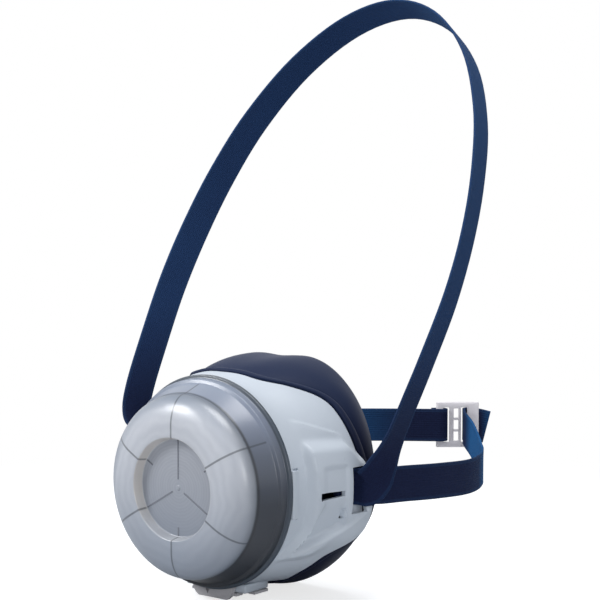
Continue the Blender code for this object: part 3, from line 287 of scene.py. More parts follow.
def rounded(corners, radius, steps=3):
    """A polyline with its inner corners rounded."""
    points = [Vector(corners[0])]
    for before, corner, after in zip(corners, corners[1:], corners[2:]):
        before, corner, after = Vector(before), Vector(corner), Vector(after)
        reach = min(radius, (before - corner).length * 0.45, (after - corner).length * 0.45)
        start = corner + (before - corner).normalized() * reach
        end = corner + (after - corner).normalized() * reach
        for i in range(steps + 1):
            t = i / steps
            points.append(start * (1 - t) ** 2 + corner * 2 * t * (1 - t) + end * t * t)
    return points + [Vector(corners[-1])]


def turned_mesh(profile, steps, middle=(0.0, 0.0), base=0.0):
    """Points and faces of a ring turned about the axis; the profile lists (radius, distance forward)."""
    points = []
    faces = []
    count = len(profile)
    for k in range(steps):
        angle = math.tau * k / steps
        for radius, ahead in profile:
            points.append((middle[0] + radius * math.cos(angle), at_depth(base - ahead),
                           middle[1] + radius * math.sin(angle)))
        for i in range(count):
            j = (i + 1) % count
            n = (k + 1) % steps
            faces.append((k * count + i, k * count + j, n * count + j, n * count + i))
    return points, faces


def dome_arc(inset, steps):
    """The dome's quarter round, from its flat land down to its edge."""
    land = COVER_LAND_RADIUS - inset * 0.25
    edge = COVER_EDGE_RADIUS - inset
    top = COVER_HEIGHT - inset
    low = COVER_EDGE_HEIGHT - inset * 0.35
    return [(land + (edge - land) * math.sin(a), low + (top - low) * math.cos(a))
            for a in [math.pi / 2 * i / steps for i in range(steps + 1)]]


cover_floor = COVER_HEIGHT - COVER_RECESS_DEPTH
outside = [(0.0, cover_floor + 0.0005), (0.0009, cover_floor + 0.0004), (0.0014, cover_floor)]
outside += rounded([(0.0020, cover_floor), (0.0120, cover_floor), (COVER_RECESS_RADIUS - 0.0010, cover_floor),
                    (COVER_RECESS_RADIUS, COVER_HEIGHT), (COVER_LAND_RADIUS - 0.0006, COVER_HEIGHT)], 0.0007)
outside += dome_arc(0.0, 20)
outside += rounded([(COVER_EDGE_RADIUS + 0.0002, COVER_EDGE_HEIGHT - 0.0007),
                    (COVER_EDGE_RADIUS + 0.0004, COVER_EDGE_HEIGHT - 0.0012), (COVER_WALL_RADIUS, 0.0066),
                    (COVER_SKIRT_RADIUS, 0.0060), (COVER_SKIRT_RADIUS + 0.0001, 0.0021),
                    (COVER_RIM_RADIUS, 0.0018), (COVER_RIM_RADIUS, 0.0)], 0.0005)
inside = [(COVER_SKIRT_RADIUS - COVER_WALL, 0.0), (COVER_SKIRT_RADIUS - COVER_WALL, 0.0046),
          (COVER_WALL_RADIUS - COVER_WALL, 0.0058)]
inside += list(reversed(dome_arc(COVER_WALL, 16)))
inside += [(COVER_RECESS_RADIUS + COVER_WALL, COVER_HEIGHT - COVER_WALL),
           (COVER_RECESS_RADIUS + COVER_WALL - 0.0012, cover_floor - COVER_WALL),
           (0.0, cover_floor - COVER_WALL)]

# Frosted smoke polycarbonate: IOR 1.585, hazy, so the ribs and the white filter show softly through it.
smoke, tree, shader, spot = new_material("frosted_smoke_polycarbonate")
parts = node(tree, "SeparateXYZ", {0: spot})
flat_x, depth, flat_z = parts.outputs["X"], parts.outputs["Y"], parts.outputs["Z"]
squares = calc(tree, "MULTIPLY", flat_x, flat_x)
squares = calc(tree, "MULTIPLY_ADD", flat_z, flat_z, squares)
radius = calc(tree, "SQRT", squares)
# 0 on the domed front, 1 on the side wall, where one looks along the smoke tint into the dark gap, whose
# shade is painted into the wall's colour
side_share = soft_fade(tree, depth, at_depth(-0.0188), at_depth(-0.0163))
ring_distance = calc(tree, "ABSOLUTE", calc(tree, "SUBTRACT", depth, at_depth(-0.0166)))
ring_share = soft_fade(tree, ring_distance, 0.0013, 0.0001, 0.0, 0.85)
# Six ribs behind the wall: the distance to the nearest one is the radius times the sine of the angle to it
turn = calc(tree, "DIVIDE", calc(tree, "ARCTAN2", flat_x, flat_z), math.tau / COVER_RIBS)
turn = calc(tree, "FRACT", calc(tree, "ADD", turn, 0.5))
turn = calc(tree, "MULTIPLY", calc(tree, "SUBTRACT", turn, 0.5), math.tau / COVER_RIBS)
from_rib = calc(tree, "ABSOLUTE", product(tree, calc(tree, "SINE", turn), radius))
rib_line = soft_fade(tree, from_rib, 0.00065, 0.00030)
rib_start = fade(tree, radius, COVER_RECESS_RADIUS - 0.0012, COVER_RECESS_RADIUS - 0.0008)
rib_end = fade(tree, depth, at_depth(-0.0070), at_depth(-0.0074))
rib_share = product(tree, rib_line, rib_start, rib_end)
# Flow rings of the moulding, faint and about 1.6 mm apart round the gate, on the recess's floor only
rings = wave_rings(tree, spot, 0.001555, 2.0)
on_floor = fade(tree, radius, 0.0236, 0.0232)
front = mix(tree, on_floor, "#dbdfe7", "#c5c9d2")
front = mix(tree, product(tree, rings, 0.30, on_floor), front, "#a9adb8")
# A soft swirl over the whole front, in uneven bands about 4.6 mm apart
swirl = wave_rings(tree, spot, 0.0046, 7.0)
front = mix(tree, product(tree, swirl, 0.15), front, "#aab0bd")
# Painted shade: darker towards the dome's edge, where one looks through more plastic at less of the white
# filter, less so on the lit right side, and darker on the lower side
rim_shade = soft_fade(tree, radius, 0.0340, 0.0452)
lit_side = fade(tree, flat_x, 0.0, 0.036, 0.75, 0.15)
low_shade = soft_fade(tree, flat_z, 0.020, -0.046, 0.0, 0.64)
shade = calc(tree, "MAXIMUM", product(tree, rim_shade, lit_side), low_shade)
front = mix(tree, shade, front, "#64778f")
# Painted shade over the dome's quarter round, deepening towards the side wall
painted_round_shade = soft_fade(tree, depth, at_depth(-0.0236), at_depth(-0.0176), 0.0, 0.62)
front = mix(tree, painted_round_shade, front, "#5d6877")
# The recess's sloped wall is clear of the filter and carries a creamy painted highlight on the side that
# faces the light, fainter on its lower part
on_wall = fade(tree, radius, 0.0232, 0.0237)
off_wall = fade(tree, radius, 0.0250, 0.0246)
wall_light = fade(tree, flat_z, -0.020, -0.004, 0.25)
front = mix(tree, product(tree, on_wall, off_wall, wall_light), front, "#e6e2de")
# Down the side wall, painted shade over the smoke tint: pale slate at the top to near black below
wall_tint_and_shade = node(tree, "ValToRGB", {0: fade(tree, flat_z, -0.050, 0.050)})
stops = wall_tint_and_shade.color_ramp.elements
stops[0].position, stops[0].color = 0.10, linear("#262c36")
stops[1].position, stops[1].color = 1.0, linear("#9aa5b8")
for position, colour in ((0.45, "#39404c"), (0.68, "#626b7c"), (0.84, "#8791a6")):
    stops.new(position).color = linear(colour)
tint = mix(tree, side_share, front, wall_tint_and_shade.outputs[0])
# The edge where the dome meets the side wall is drawn as a dark line, painted paler on the lit left and
# darker, as painted shade, on the right
edge_tint_and_shade = mix(tree, fade(tree, flat_x, -0.030, 0.035), "#56667a", "#262c34")
tint = mix(tree, ring_share, tint, edge_tint_and_shade)
# The outer rim, 2 mm deep, is thick and slate coloured
rim_share = fade(tree, depth, at_depth(-0.0024), at_depth(-0.0020))
tint = mix(tree, rim_share, tint, "#43505f")
tint = mix(tree, product(tree, rib_share, 0.62), tint, "#2d3540")
frost = bump(tree, noise(tree, spot, 0.0004, 2.0), 0.10, 0.0001)
fill(shader, {"Base Color": tint, "Roughness": 0.28, "IOR": 1.585, "Transmission Weight": 0.30,
              "Normal": frost})

points, faces = turned_mesh([Vector(p) for p in outside + inside], 192)
piece("cover_dome", points, faces, smoke, "cover", ["filter_cover"], sharp=30)

# The ribs are part of the same moulding and read darker, as more plastic stands in line there.
smoke_ribs, tree, shader, spot = new_material("smoke_polycarbonate_ribs")
tint = mottled(tree, spot, 0.0006, 2.0, "#3f4650", "#565d68")
# Under the thin floor they show paler than in the thick dome
flat = node(tree, "VectorMath", {0: spot, 1: (1.0, 0.0, 1.0)}, operation="MULTIPLY").outputs["Vector"]
flat = node(tree, "VectorMath", {0: flat}, operation="LENGTH").outputs["Value"]
in_floor = fade(tree, flat, COVER_RECESS_RADIUS, COVER_RECESS_RADIUS - 0.0010)
tint = mix(tree, in_floor, tint, "#767a84")
fill(shader, {"Base Color": tint, "Roughness": 0.35, "IOR": 1.585})


def prism_faces(count, first=0):
    """Faces of a prism whose points are one end's outline and then the other's."""
    last = first + 2 * count - 1
    faces = [tuple(range(first, first + count)), tuple(range(last, last - count, -1))]
    for i in range(count):
        j = (i + 1) % count
        faces.append((first + i, first + count + i, first + count + j, first + j))
    return faces


def rib(points, faces, outline, angle):
    """Adds an upright plate in the plane of the axis; the outline lists (radius, distance forward)."""
    faces += prism_faces(len(outline), len(points))
    along = Vector((math.cos(angle), 0.0, math.sin(angle)))
    across = Vector((-math.sin(angle), 0.0, math.cos(angle))) * COVER_RIB_WIDTH / 2
    for side in (-1, 1):
        for r, ahead in outline:
            points.append(along * r + across * side + Vector((0.0, at_depth(-ahead), 0.0)))


RIB_DEPTH = 0.0014
LONG_RIB_START = 0.0042
STUB_RIB_START = 0.0190
FLOOR_RIB_RISE = 0.00015
FLOOR_RIB_DEPTH = 0.0012

points, faces = [], []
sunk_in = COVER_WALL * 0.6
outer_edge = dome_arc(sunk_in, 10)
inner_edge = [(r - 0.0010, f - RIB_DEPTH) for r, f in reversed(outer_edge)]
rib_foot = COVER_RECESS_RADIUS + COVER_WALL - 0.0004
floor_front = cover_floor + FLOOR_RIB_RISE
floor_back = cover_floor - COVER_WALL - FLOOR_RIB_DEPTH
floor_end = COVER_RECESS_RADIUS - 0.0014
for k in range(COVER_RIBS):
    angle = math.pi / 2 + math.tau * k / COVER_RIBS
    rib(points, faces, [(rib_foot, COVER_HEIGHT - sunk_in), *outer_edge,
                        (COVER_WALL_RADIUS - sunk_in, 0.0075),
                        (COVER_WALL_RADIUS - COVER_WALL - RIB_DEPTH, 0.0080), *inner_edge,
                        (rib_foot, COVER_HEIGHT - COVER_WALL - RIB_DEPTH)], angle)
    start = LONG_RIB_START if k % 2 == 0 else STUB_RIB_START
    rib(points, faces, [(start, floor_front), (floor_end, floor_front), (floor_end, floor_back),
                        (start, floor_back)], angle)
piece("cover_ribs", points, faces, smoke_ribs, "cover")


# ================================================================ filter cartridge
# A disc of off-white non-woven media in ring pleats, glued into a moulded ring, with a grey foam gasket
# behind it. It is seen dimly through the cover, and plainly once the cover is off.

def dress(name, skin):
    """Gives a CAD solid its material."""
    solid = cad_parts[name]
    solid.data.materials.clear()
    solid.data.materials.append(skin)
    smooth(solid, 35)


# Melt-blown polypropylene fleece: dull, fibrous and a little uneven, with fibres that read at about 0.5 mm.
fleece, tree, shader, spot = new_material("polypropylene_fleece")
fibres = node(tree, "TexNoise", {"Vector": spot, "Scale": 1 / 0.0005, "Detail": 4.0,
                                 "Roughness": 0.7}).outputs["Fac"]
tint = mottled(tree, spot, 0.009, 2.0, "#e9e7df", "#f4f3ee")
nap = bump(tree, fibres, 0.5, 0.0003)
fill(shader, {"Base Color": tint, "Roughness": 0.95, "Specular IOR Level": 0.2, "Sheen Weight": 0.3,
              "Normal": nap})
dress("filter_element", fleece)

# Natural polypropylene as moulded: off-white, satin, with the faint orange peel of a textured mould.
natural, tree, shader, spot = new_material("natural_polypropylene")
tint = mottled(tree, spot, 0.020, 2.0, "#dddcd3", "#e6e5dd")
relief = bump(tree, noise(tree, spot, 0.0012, 2.0), 0.12, 0.0002)
fill(shader, {"Base Color": tint, "Roughness": 0.42, "IOR": 1.49, "Normal": relief})
dress("filter_frame", natural)

# Closed-cell foam rubber: charcoal grey with pores about 0.6 mm apart.
foam, tree, shader, spot = new_material("foam_rubber")
pores = node(tree, "TexVoronoi", {"Vector": spot, "Scale": 1 / 0.0006}).outputs["Distance"]
tint = mix(tree, pores, "#26272a", "#3a3b3f")
pits = bump(tree, pores, 0.5, 0.0002)
fill(shader, {"Base Color": tint, "Roughness": 0.85, "Normal": pits})
dress("filter_gasket", foam)


# ================================================================ inner body and valves
# A white moulding behind the filter: a bulkhead with a neck that the rubber grips, a grid in front of it, and
# two spoked valve seats, each with a thin rubber disc.

for name in ("inner_body", "filter_grid", "inhalation_valve_seat", "exhalation_valve_seat",
             "facepiece_clamp_ring"):
    dress(name, natural)

# Silicone sheet: amber, matt, and it lets a little light through.
silicone, tree, shader, spot = new_material("amber_silicone_sheet")
tint = mottled(tree, spot, 0.006, 3.0, "#c9b384", "#d8c59a")
fill(shader, {"Base Color": tint, "Roughness": 0.55, "IOR": 1.41, "Subsurface Weight": 0.3,
              "Subsurface Radius": (0.002, 0.0015, 0.001), "Subsurface Scale": 1.0})
for name in ("inhalation_valve_flap", "exhalation_valve_flap"):
    dress(name, silicone)


# ================================================================ housing shell
# The pale blue-grey moulding that everything mounts on: a bell that flares back from the cover to the rubber.
# On each side a hood stands out over the strap's pocket, and a ledge runs forward and down from it.

SHELL_FRONT = 0.0008
SHELL_FRONT_RADIUS = 0.0518
SHELL_REAR_HALF_WIDTH = 0.0610
SHELL_REAR_TOP = 0.0550
SHELL_REAR_BOTTOM = 0.0535
SHELL_FLARE = 0.0400
SHELL_WALL = 0.0022
HOOD_RISE = 0.0042
HOOD_FRONT = 0.0095
HOOD_BEVEL = 0.0030
HOOD_TOP = 0.0245
HOOD_BOTTOM = -0.0360
POCKET_FRONT = 0.0318
ANCHOR_X = 0.0570
ANCHOR_BACK = 0.0300
ANCHOR_RADIUS = 0.0015
SEAM = ((90, 0.0095), (66, 0.0130), (54, 0.0240), (42, 0.0350), (20, 0.0390), (-10, 0.0470),
        (-22, 0.0425), (-34, 0.0290), (-52, 0.0235), (-72, 0.0265), (-90, 0.0275))


def read_table(table, value):
    """Reads (position, amount) pairs, straight between its entries."""
    if value <= table[0][0]:
        return table[0][1]
    for (start, low), (end, high) in zip(table, table[1:]):
        if value <= end:
            return low + (high - low) * (value - start) / (end - start)
    return table[-1][1]


def ramp(value, low, high):
    """0 below low, 1 above high, and a smooth step between them."""
    share = min(1.0, max(0.0, (value - low) / (high - low)))
    return share * share * (3 - 2 * share)


def seam_back(angle):
    """Depth of the shell's rear edge at an angle up from the wearer's left, alike on both sides."""
    turn = math.degrees(math.asin(max(-1.0, min(1.0, math.sin(angle)))))
    table = sorted(SEAM)
    samples = [read_table(table, max(-90.0, min(90.0, turn + 2.5 * k))) for k in (-2, -1, 0, 1, 2)]
    return sum(samples) / len(samples)


def oval(angle, half_width, top, bottom, power):
    """Radius of a squarish oval."""
    height = top if math.sin(angle) >= 0 else bottom
    across = abs(math.cos(angle) / half_width) ** power
    along = abs(math.sin(angle) / height) ** power
    return (across + along) ** (-1 / power)


def shell_radius(angle, back):
    share = ramp(back, 0.0, SHELL_FLARE)
    top_share = ramp(back, 0.0, SHELL_FLARE * 0.55)
    half_width = SHELL_FRONT_RADIUS + (SHELL_REAR_HALF_WIDTH - SHELL_FRONT_RADIUS) * share
    top = SHELL_FRONT_RADIUS + (SHELL_REAR_TOP - SHELL_FRONT_RADIUS) * top_share
    bottom = SHELL_FRONT_RADIUS + (SHELL_REAR_BOTTOM - SHELL_FRONT_RADIUS) * share
    return oval(angle, half_width, top, bottom, 2.0 + 0.3 * share)


def side_relief(angle, back):
    """The hood with its roof and rear edge, the sunk panel in it, the ledge below and the crease above."""
    height = shell_radius(angle, back) * math.sin(angle)
    # The front ridge runs straight down and then forward to meet the ledge
    ridge = HOOD_FRONT - 0.0080 * ramp(-height, 0.0160, 0.0340)
    front = ramp(back, ridge, ridge + HOOD_BEVEL)
    roof_top = HOOD_TOP - 0.0075 * ramp(back, 0.0310, 0.0400)
    roof = 1 - ramp(height, roof_top - 0.0085, roof_top)
    foot = ramp(height, HOOD_BOTTOM, HOOD_BOTTOM + 0.0080 + 0.0080 * ramp(back, 0.0140, 0.0260))
    rise = HOOD_RISE * front * roof * foot
    above_ledge = ramp(height, ledge_height(back), ledge_height(back) + 0.0022)
    under_roof = 1 - ramp(height, 0.0090, 0.0104)
    # The panel starts behind the front ridge and stops at a raised band along the pocket's edge
    low = ramp(-height, 0.0040, 0.0200)
    behind_ridge = ramp(back, ridge + 0.0058 - 0.0032 * low, ridge + 0.0092 - 0.0050 * low)
    sunk = 0.0008 + 0.0030 * low
    before_band = 1 - ramp(back, POCKET_FRONT - 0.0034, POCKET_FRONT - 0.0022)
    rise -= sunk * behind_ridge * under_roof * above_ledge * before_band
    ledge = 1 - ramp(height, ledge_height(back) - 0.0006, ledge_height(back) + 0.0006)
    ledge *= ramp(math.cos(angle) ** 2, 0.10, 0.30) * ramp(-height, 0.0, 0.0060)
    rise = rise + 0.0010 * ledge * ramp(back, 0.000, 0.016)
    crease = 0.0308 - 0.367 * (back - 0.0149)
    above_hood = ramp(height, HOOD_TOP - 0.0030, crease) * (1 - ramp(height, crease, crease + 0.0006))
    return rise + 0.0007 * above_hood * ramp(back, 0.008, 0.014) * (1 - ramp(back, 0.028, 0.036))


def ledge_height(back):
    """Height of the ledge's upper edge: it climbs from the cover's lower side to the strap's pocket."""
    return -0.0340 + 0.530 * back


def ring_at(radius_of, back_of, steps):
    """One ring of a loft: radius and depth are functions of the angle."""
    ring = []
    for i in range(steps):
        angle = math.tau * i / steps
        reach = radius_of(angle)
        ring.append((reach * math.cos(angle), at_depth(back_of(angle)), reach * math.sin(angle)))
    return ring


def loft(rings):
    """Points and faces of a closed body whose rings join round and then back to the first ring."""
    count = len(rings[0])
    total = len(rings)
    faces = []
    for j in range(total):
        for i in range(count):
            n = (i + 1) % count
            k = (j + 1) % total
            faces.append((j * count + i, j * count + n, k * count + n, k * count + i))
    return [point for ring in rings for point in ring], faces


def cutter(name, low, high, bevel=0.0, taper=None):
    """A box for a Boolean. taper moves the lower edge of its rear end up."""
    mesh = bpy.data.meshes.new(name)
    work = bmesh.new()
    size = Vector(high) - Vector(low)
    bmesh.ops.create_cube(work, size=1.0, matrix=Matrix.Translation((Vector(low) + Vector(high)) / 2)
                          @ Matrix.Diagonal((*size, 1.0)))
    if taper:
        for corner in work.verts:
            if corner.co.y > (low[1] + high[1]) / 2 and corner.co.z < (low[2] + high[2]) / 2:
                corner.co.z += taper
    if bevel:
        bmesh.ops.bevel(work, geom=list(work.edges), offset=bevel, segments=3, profile=0.5, affect="EDGES")
    work.to_mesh(mesh)
    work.free()
    return add_object(name, mesh)


def combine(target, others, operation):
    """Joins pieces to the target, or cuts them out of it, and applies that at once."""
    for other in others:
        step = target.modifiers.new(operation, "BOOLEAN")
        step.operation = operation
        step.object = other
    bpy.context.view_layer.update()
    mesh = bpy.data.meshes.new_from_object(target.evaluated_get(bpy.context.evaluated_depsgraph_get()))
    target.modifiers.clear()
    old = target.data
    target.data = mesh
    bpy.data.meshes.remove(old)
    for other in others:
        bpy.data.objects.remove(other, do_unlink=True)


def both_sides(name, low, high, bevel=0.0, taper=None):
    """A box on each side of the mask. Its corners are (x, back, z) on the wearer's left."""
    front, rear = at_depth(low[1]), at_depth(high[1])
    return [cutter(f"{name}_left", (low[0], front, low[2]), (high[0], rear, high[2]), bevel, taper),
            cutter(f"{name}_right", (-high[0], front, low[2]), (-low[0], rear, high[2]), bevel, taper)]


def abs_plastic(name, patch, detail, first, second, roughness):
    """ABS, moulded with a fine matt texture: IOR 1.54, satin, with very slight mottling."""
    made, tree, shader, spot = new_material(name)
    relief = bump(tree, noise(tree, spot, 0.0005, 2.0), 0.10, 0.0001)
    fill(shader, {"Base Color": mottled(tree, spot, patch, detail, first, second),
                  "Roughness": roughness, "IOR": 1.54, "Normal": relief})
    return made


# Cool pale grey ABS
abs_grey = abs_plastic("pale_grey_abs", 0.030, 3.0, "#bcc5cf", "#c6ced8", 0.45)

SHELL_STEPS = 440
SHELL_ROWS = 56
EDGE_ROUND = 0.0005


def shell_row(share, inset=0.0):
    """A ring of the shell at a share of the way from its front edge to its seam."""
    def back(angle):
        return SHELL_FRONT + share * (seam_back(angle) - SHELL_FRONT)

    def reach(angle):
        return shell_radius(angle, back(angle)) + side_relief(angle, back(angle)) - inset
    return ring_at(reach, back, SHELL_STEPS)


rows = [shell_row(0.0, EDGE_ROUND), shell_row(0.010, EDGE_ROUND * 0.3)]
rows += [shell_row(0.02 + 0.96 * i / SHELL_ROWS) for i in range(SHELL_ROWS + 1)]
rows += [shell_row(0.993, EDGE_ROUND * 0.3), shell_row(1.0, EDGE_ROUND * 1.2)]
rows += [shell_row(1.0 - i / 28, SHELL_WALL) for i in range(29)]
points, faces = loft(rows)
housing = piece("housing", points, faces, abs_grey)

LATCH_TOP = 0.0105
LATCH_BOTTOM = -0.0125
LATCH_RISE = 0.0006
NOTCH_HEIGHT = 0.0011
BOSS_INNER = 0.0105
BOSS_OUTER = 0.0140
BOSS_HALF_DEPTH = 0.0026
EXHAUST_HALF_WIDTH = 0.0190
EXHAUST_FRONT = 0.0045
EXHAUST_REAR = 0.0225
EXHAUST_BOTTOM = 0.0538
EXHAUST_WALL = 0.0016
# Clear of the shell's side, where cuts may end
BEYOND = 0.0750

joined = both_sides("latch_tongue", (SHELL_FRONT_RADIUS - 0.0014, 0.0003, LATCH_BOTTOM),
                    (SHELL_FRONT_RADIUS + LATCH_RISE, 0.0042, LATCH_TOP), 0.0003)
for name, low in (("upper", BOSS_INNER), ("lower", -BOSS_OUTER)):
    joined += both_sides(f"bar_boss_{name}", (ANCHOR_X - 0.0028, ANCHOR_BACK - BOSS_HALF_DEPTH, low),
                         (ANCHOR_X + 0.0050, ANCHOR_BACK + BOSS_HALF_DEPTH, low + BOSS_OUTER - BOSS_INNER))
joined.append(cutter("exhaust_block", (-EXHAUST_HALF_WIDTH, at_depth(EXHAUST_FRONT), -EXHAUST_BOTTOM),
                     (EXHAUST_HALF_WIDTH, at_depth(EXHAUST_REAR), -0.0495), 0.0008))
joined += both_sides("recess_floor", (0.0572, 0.0300, -0.0152), (0.0604, 0.0440, -0.0094))
combine(housing, joined, "UNION")
# The hole for the webbing, the recess round its root, the slot, a gap above and below the latch's tongue, and
# a small hole below the recess
cuts = both_sides("strap_pocket", (0.0490, POCKET_FRONT + 0.0006, -0.0094), (BEYOND, 0.0600, 0.0094))
cuts += both_sides("strap_recess", (0.0604, POCKET_FRONT, -0.0134), (BEYOND, 0.0420, 0.0093), 0.0002)
cuts += both_sides("side_slot", (0.0490, 0.0141, -0.0052), (BEYOND, 0.0278, -0.0014), 0.0, 0.0013)
for name, low in (("upper", LATCH_TOP - 0.0002), ("lower", LATCH_BOTTOM - 0.0009)):
    cuts += both_sides(f"latch_notch_{name}", (SHELL_FRONT_RADIUS - 0.0016, 0.0020, low),
                       (SHELL_FRONT_RADIUS + 0.0030, 0.0052, low + NOTCH_HEIGHT))
cuts += both_sides("pin_hole", (0.0500, 0.0274, -0.0152), (0.0700, 0.0288, -0.0140))
inner_half = EXHAUST_HALF_WIDTH - EXHAUST_WALL
cuts.append(cutter("exhaust_opening", (-inner_half, at_depth(EXHAUST_FRONT + EXHAUST_WALL), -0.0600),
                   (inner_half, at_depth(EXHAUST_REAR - EXHAUST_WALL), -0.0440)))
combine(housing, cuts, "DIFFERENCE")
smooth(housing, 32)
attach(housing, "mask")
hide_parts("housing_shell")


# ================================================================ exhaust cover
# A small tray under the chin that keeps the exhalation valve clean. It is moulded in a warmer grey ABS than
# the shell, turns on a steel pin behind it, and its front tab has a fingernail notch.

EXHAUST_TAB_TOP = 0.0138
EXHAUST_TAB_FOOT = 0.0093
EXHAUST_TAB_LOW = -0.0577
EXHAUST_HINGE_BACK = 0.0250
EXHAUST_HINGE_Z = -EXHAUST_BOTTOM - 0.0017

# The same ABS in a light warm grey
tab_grey = abs_plastic("warm_grey_abs", 0.012, 2.0, "#bebcc0", "#cac8cb", 0.42)

KNUCKLE_HALF_LENGTH = 0.0110
KNUCKLE_RADIUS = 0.0015
KNUCKLE_SIDES = 32
TAB_THICKNESS = 0.0019
VENT_HALF_WIDTH = 0.0042

tray_top = -EXHAUST_BOTTOM - 0.0003
tray_low = tray_top - 0.0014
tray_front = at_depth(EXHAUST_FRONT - 0.0012)
hinge_y = at_depth(EXHAUST_HINGE_BACK)
tray_rear = hinge_y - 0.0026
tab_arc = COVER_RIM_RADIUS + 0.0003
tab_steps = [EXHAUST_TAB_TOP * i / 8 for i in range(9)]
arch = [(x, -math.sqrt(tab_arc ** 2 - x ** 2)) for x in tab_steps]
half_outline = rounded([*arch[1:], (EXHAUST_TAB_TOP / 2 + EXHAUST_TAB_FOOT / 2, EXHAUST_TAB_LOW + 0.0018),
                        (EXHAUST_TAB_FOOT, EXHAUST_TAB_LOW),
                        (EXHAUST_TAB_FOOT - 0.0030, EXHAUST_TAB_LOW)], 0.0006)
half_outline = [tuple(point) for point in half_outline]
outline = [arch[0], *half_outline] + [(-x, z) for x, z in reversed(half_outline)]
tab_front = tray_front - TAB_THICKNESS / 2
points = [(x, tab_front + shift, z) for shift in (0.0, TAB_THICKNESS) for x, z in outline]
tab = piece("exhaust_tab", points, prism_faces(len(outline)))
tray = cutter("exhaust_tray", (-EXHAUST_HALF_WIDTH, tray_front, tray_low),
              (EXHAUST_HALF_WIDTH, tray_rear, tray_top), 0.0003)
reach = cutter("exhaust_reach", (-KNUCKLE_HALF_LENGTH, tray_rear - 0.0010, tray_low + 0.0001),
               (KNUCKLE_HALF_LENGTH, hinge_y, tray_top - 0.0002))
turns = [math.tau * k / KNUCKLE_SIDES for k in range(KNUCKLE_SIDES)]
points = [(x, hinge_y + KNUCKLE_RADIUS * math.cos(turn), EXHAUST_HINGE_Z + KNUCKLE_RADIUS * math.sin(turn))
          for x in (-KNUCKLE_HALF_LENGTH, KNUCKLE_HALF_LENGTH) for turn in turns]
knuckle = piece("exhaust_knuckle", points, prism_faces(KNUCKLE_SIDES))
tray.data.materials.append(tab_grey)
combine(tray, [tab, reach, knuckle], "UNION")
cuts = [cutter(f"vent_{k}", (x - VENT_HALF_WIDTH, at_depth(0.0085), -0.0700),
               (x + VENT_HALF_WIDTH, at_depth(0.0180), -0.0450))
        for k, x in enumerate((-0.0105, 0.0, 0.0105))]
cuts += both_sides("tray_corner", (0.0142, 0.0, -0.0700), (0.0250, 0.0120, -0.0450))
points = [(x, y, z) for y in (tray_front - 0.0030, tray_front + 0.0007)
          for x, z in ((-0.0058, -0.0520), (-0.0010, -0.0520), (-0.0034, -0.0562))]
cuts.append(piece("nail_notch", points, prism_faces(3)))
combine(tray, cuts, "DIFFERENCE")
smooth(tray, 30)
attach(tray, "exhaust_door")
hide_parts("exhaust_cover")

# Drawn stainless wire: bright, its gloss broken up at about 0.3 mm by the marks of drawing.
wire, tree, shader, spot = new_material("drawn_stainless_wire")
gloss = fade(tree, noise(tree, spot, 0.0003, 2.0), 0.0, 1.0, 0.22, 0.40)
fill(shader, {"Base Color": linear("#c4c6c8"), "Metallic": 1.0, "Roughness": gloss})
for name in ("exhaust_hinge_pin", "strap_bar_left", "strap_bar_right"):
    dress(name, wire)


# ================================================================ facepiece
# Injection-moulded rubber: a cup whose bead stands round the shell's rear edge, with cheeks and a nose that
# swell out behind it, and a soft lip turned in all round the opening, which seals on the face.

NECK_RADIUS = 0.0200
NECK_LIP_RADIUS = 0.0214
CUFF_WALL = 0.0026
CUFF_FRONT = 0.0240
CUFF_LENGTH = 0.0055
FACEPIECE_WALL = 0.0022
BEAD_RISE = 0.0016
BEAD_LENGTH = 0.0050
FACE_HALF_WIDTH = 0.0575
FACE_TOP = 0.0615
FACE_BOTTOM = 0.0590
FACE_OPENING_WIDTH = 0.0380
FACE_OPENING_TOP = 0.0370
FACE_OPENING_BOTTOM = 0.0420
NOSE_NOTCH = 0.0040
NOSE_NOTCH_ANGLE = 15.0
FACE_STEPS = 144

# Thermoplastic rubber: navy, satin, with a fine matt grain. Its upper side is painted paler, as painted light
# from above.
rubber, tree, shader, spot = new_material("navy_moulded_rubber")
deep = mottled(tree, spot, 0.020, 3.0, "#0b1026", "#10162f")
# Painted light: paler towards the top
painted_top_light = soft_fade(tree, node(tree, "SeparateXYZ", {0: spot}).outputs["Z"], 0.012, 0.050)
tint = mix(tree, painted_top_light, deep, "#17233f")
relief = bump(tree, noise(tree, spot, 0.0006, 3.0), 0.15, 0.0002)
fill(shader, {"Base Color": tint, "Roughness": 0.50, "IOR": 1.50, "Specular IOR Level": 0.13,
              "Normal": relief, "Sheen Weight": 0.04, "Sheen Roughness": 0.4,
              "Sheen Tint": linear("#6f88bc")})


def nose_notch(angle, half_angle):
    """How far a ring dips at the bridge of the nose."""
    turn = math.degrees(angle) % 360
    return NOSE_NOTCH * math.exp(-((turn - 90) / half_angle) ** 2)


def face_radius(angle):
    power = 2.15 if math.sin(angle) >= 0 else 1.80
    return oval(angle, FACE_HALF_WIDTH, FACE_TOP, FACE_BOTTOM, power) - nose_notch(angle, NOSE_NOTCH_ANGLE)


def opening_radius(angle):
    reach = oval(angle, FACE_OPENING_WIDTH, FACE_OPENING_TOP, FACE_OPENING_BOTTOM, 2.0)
    return reach - nose_notch(angle, 1.5 * NOSE_NOTCH_ANGLE)


def seam_radius(angle):
    return shell_radius(angle, seam_back(angle))


def middle_of_lip(angle):
    return (face_radius(angle) + opening_radius(angle)) / 2


def cuff(radius, back):
    """A round ring at one depth, where the rubber grips the inner body's neck."""
    return lambda angle: radius, lambda angle: back


def bead(more, behind):
    """A ring that follows the shell's seam, that much wider and that much further back."""
    return lambda angle: seam_radius(angle) + more, lambda angle: seam_back(angle) + behind


def lip(radius_of, more, ahead):
    """A ring near the plane of the face."""
    return lambda angle: radius_of(angle) + more, lambda angle: RIM_TO_SEAL - ahead


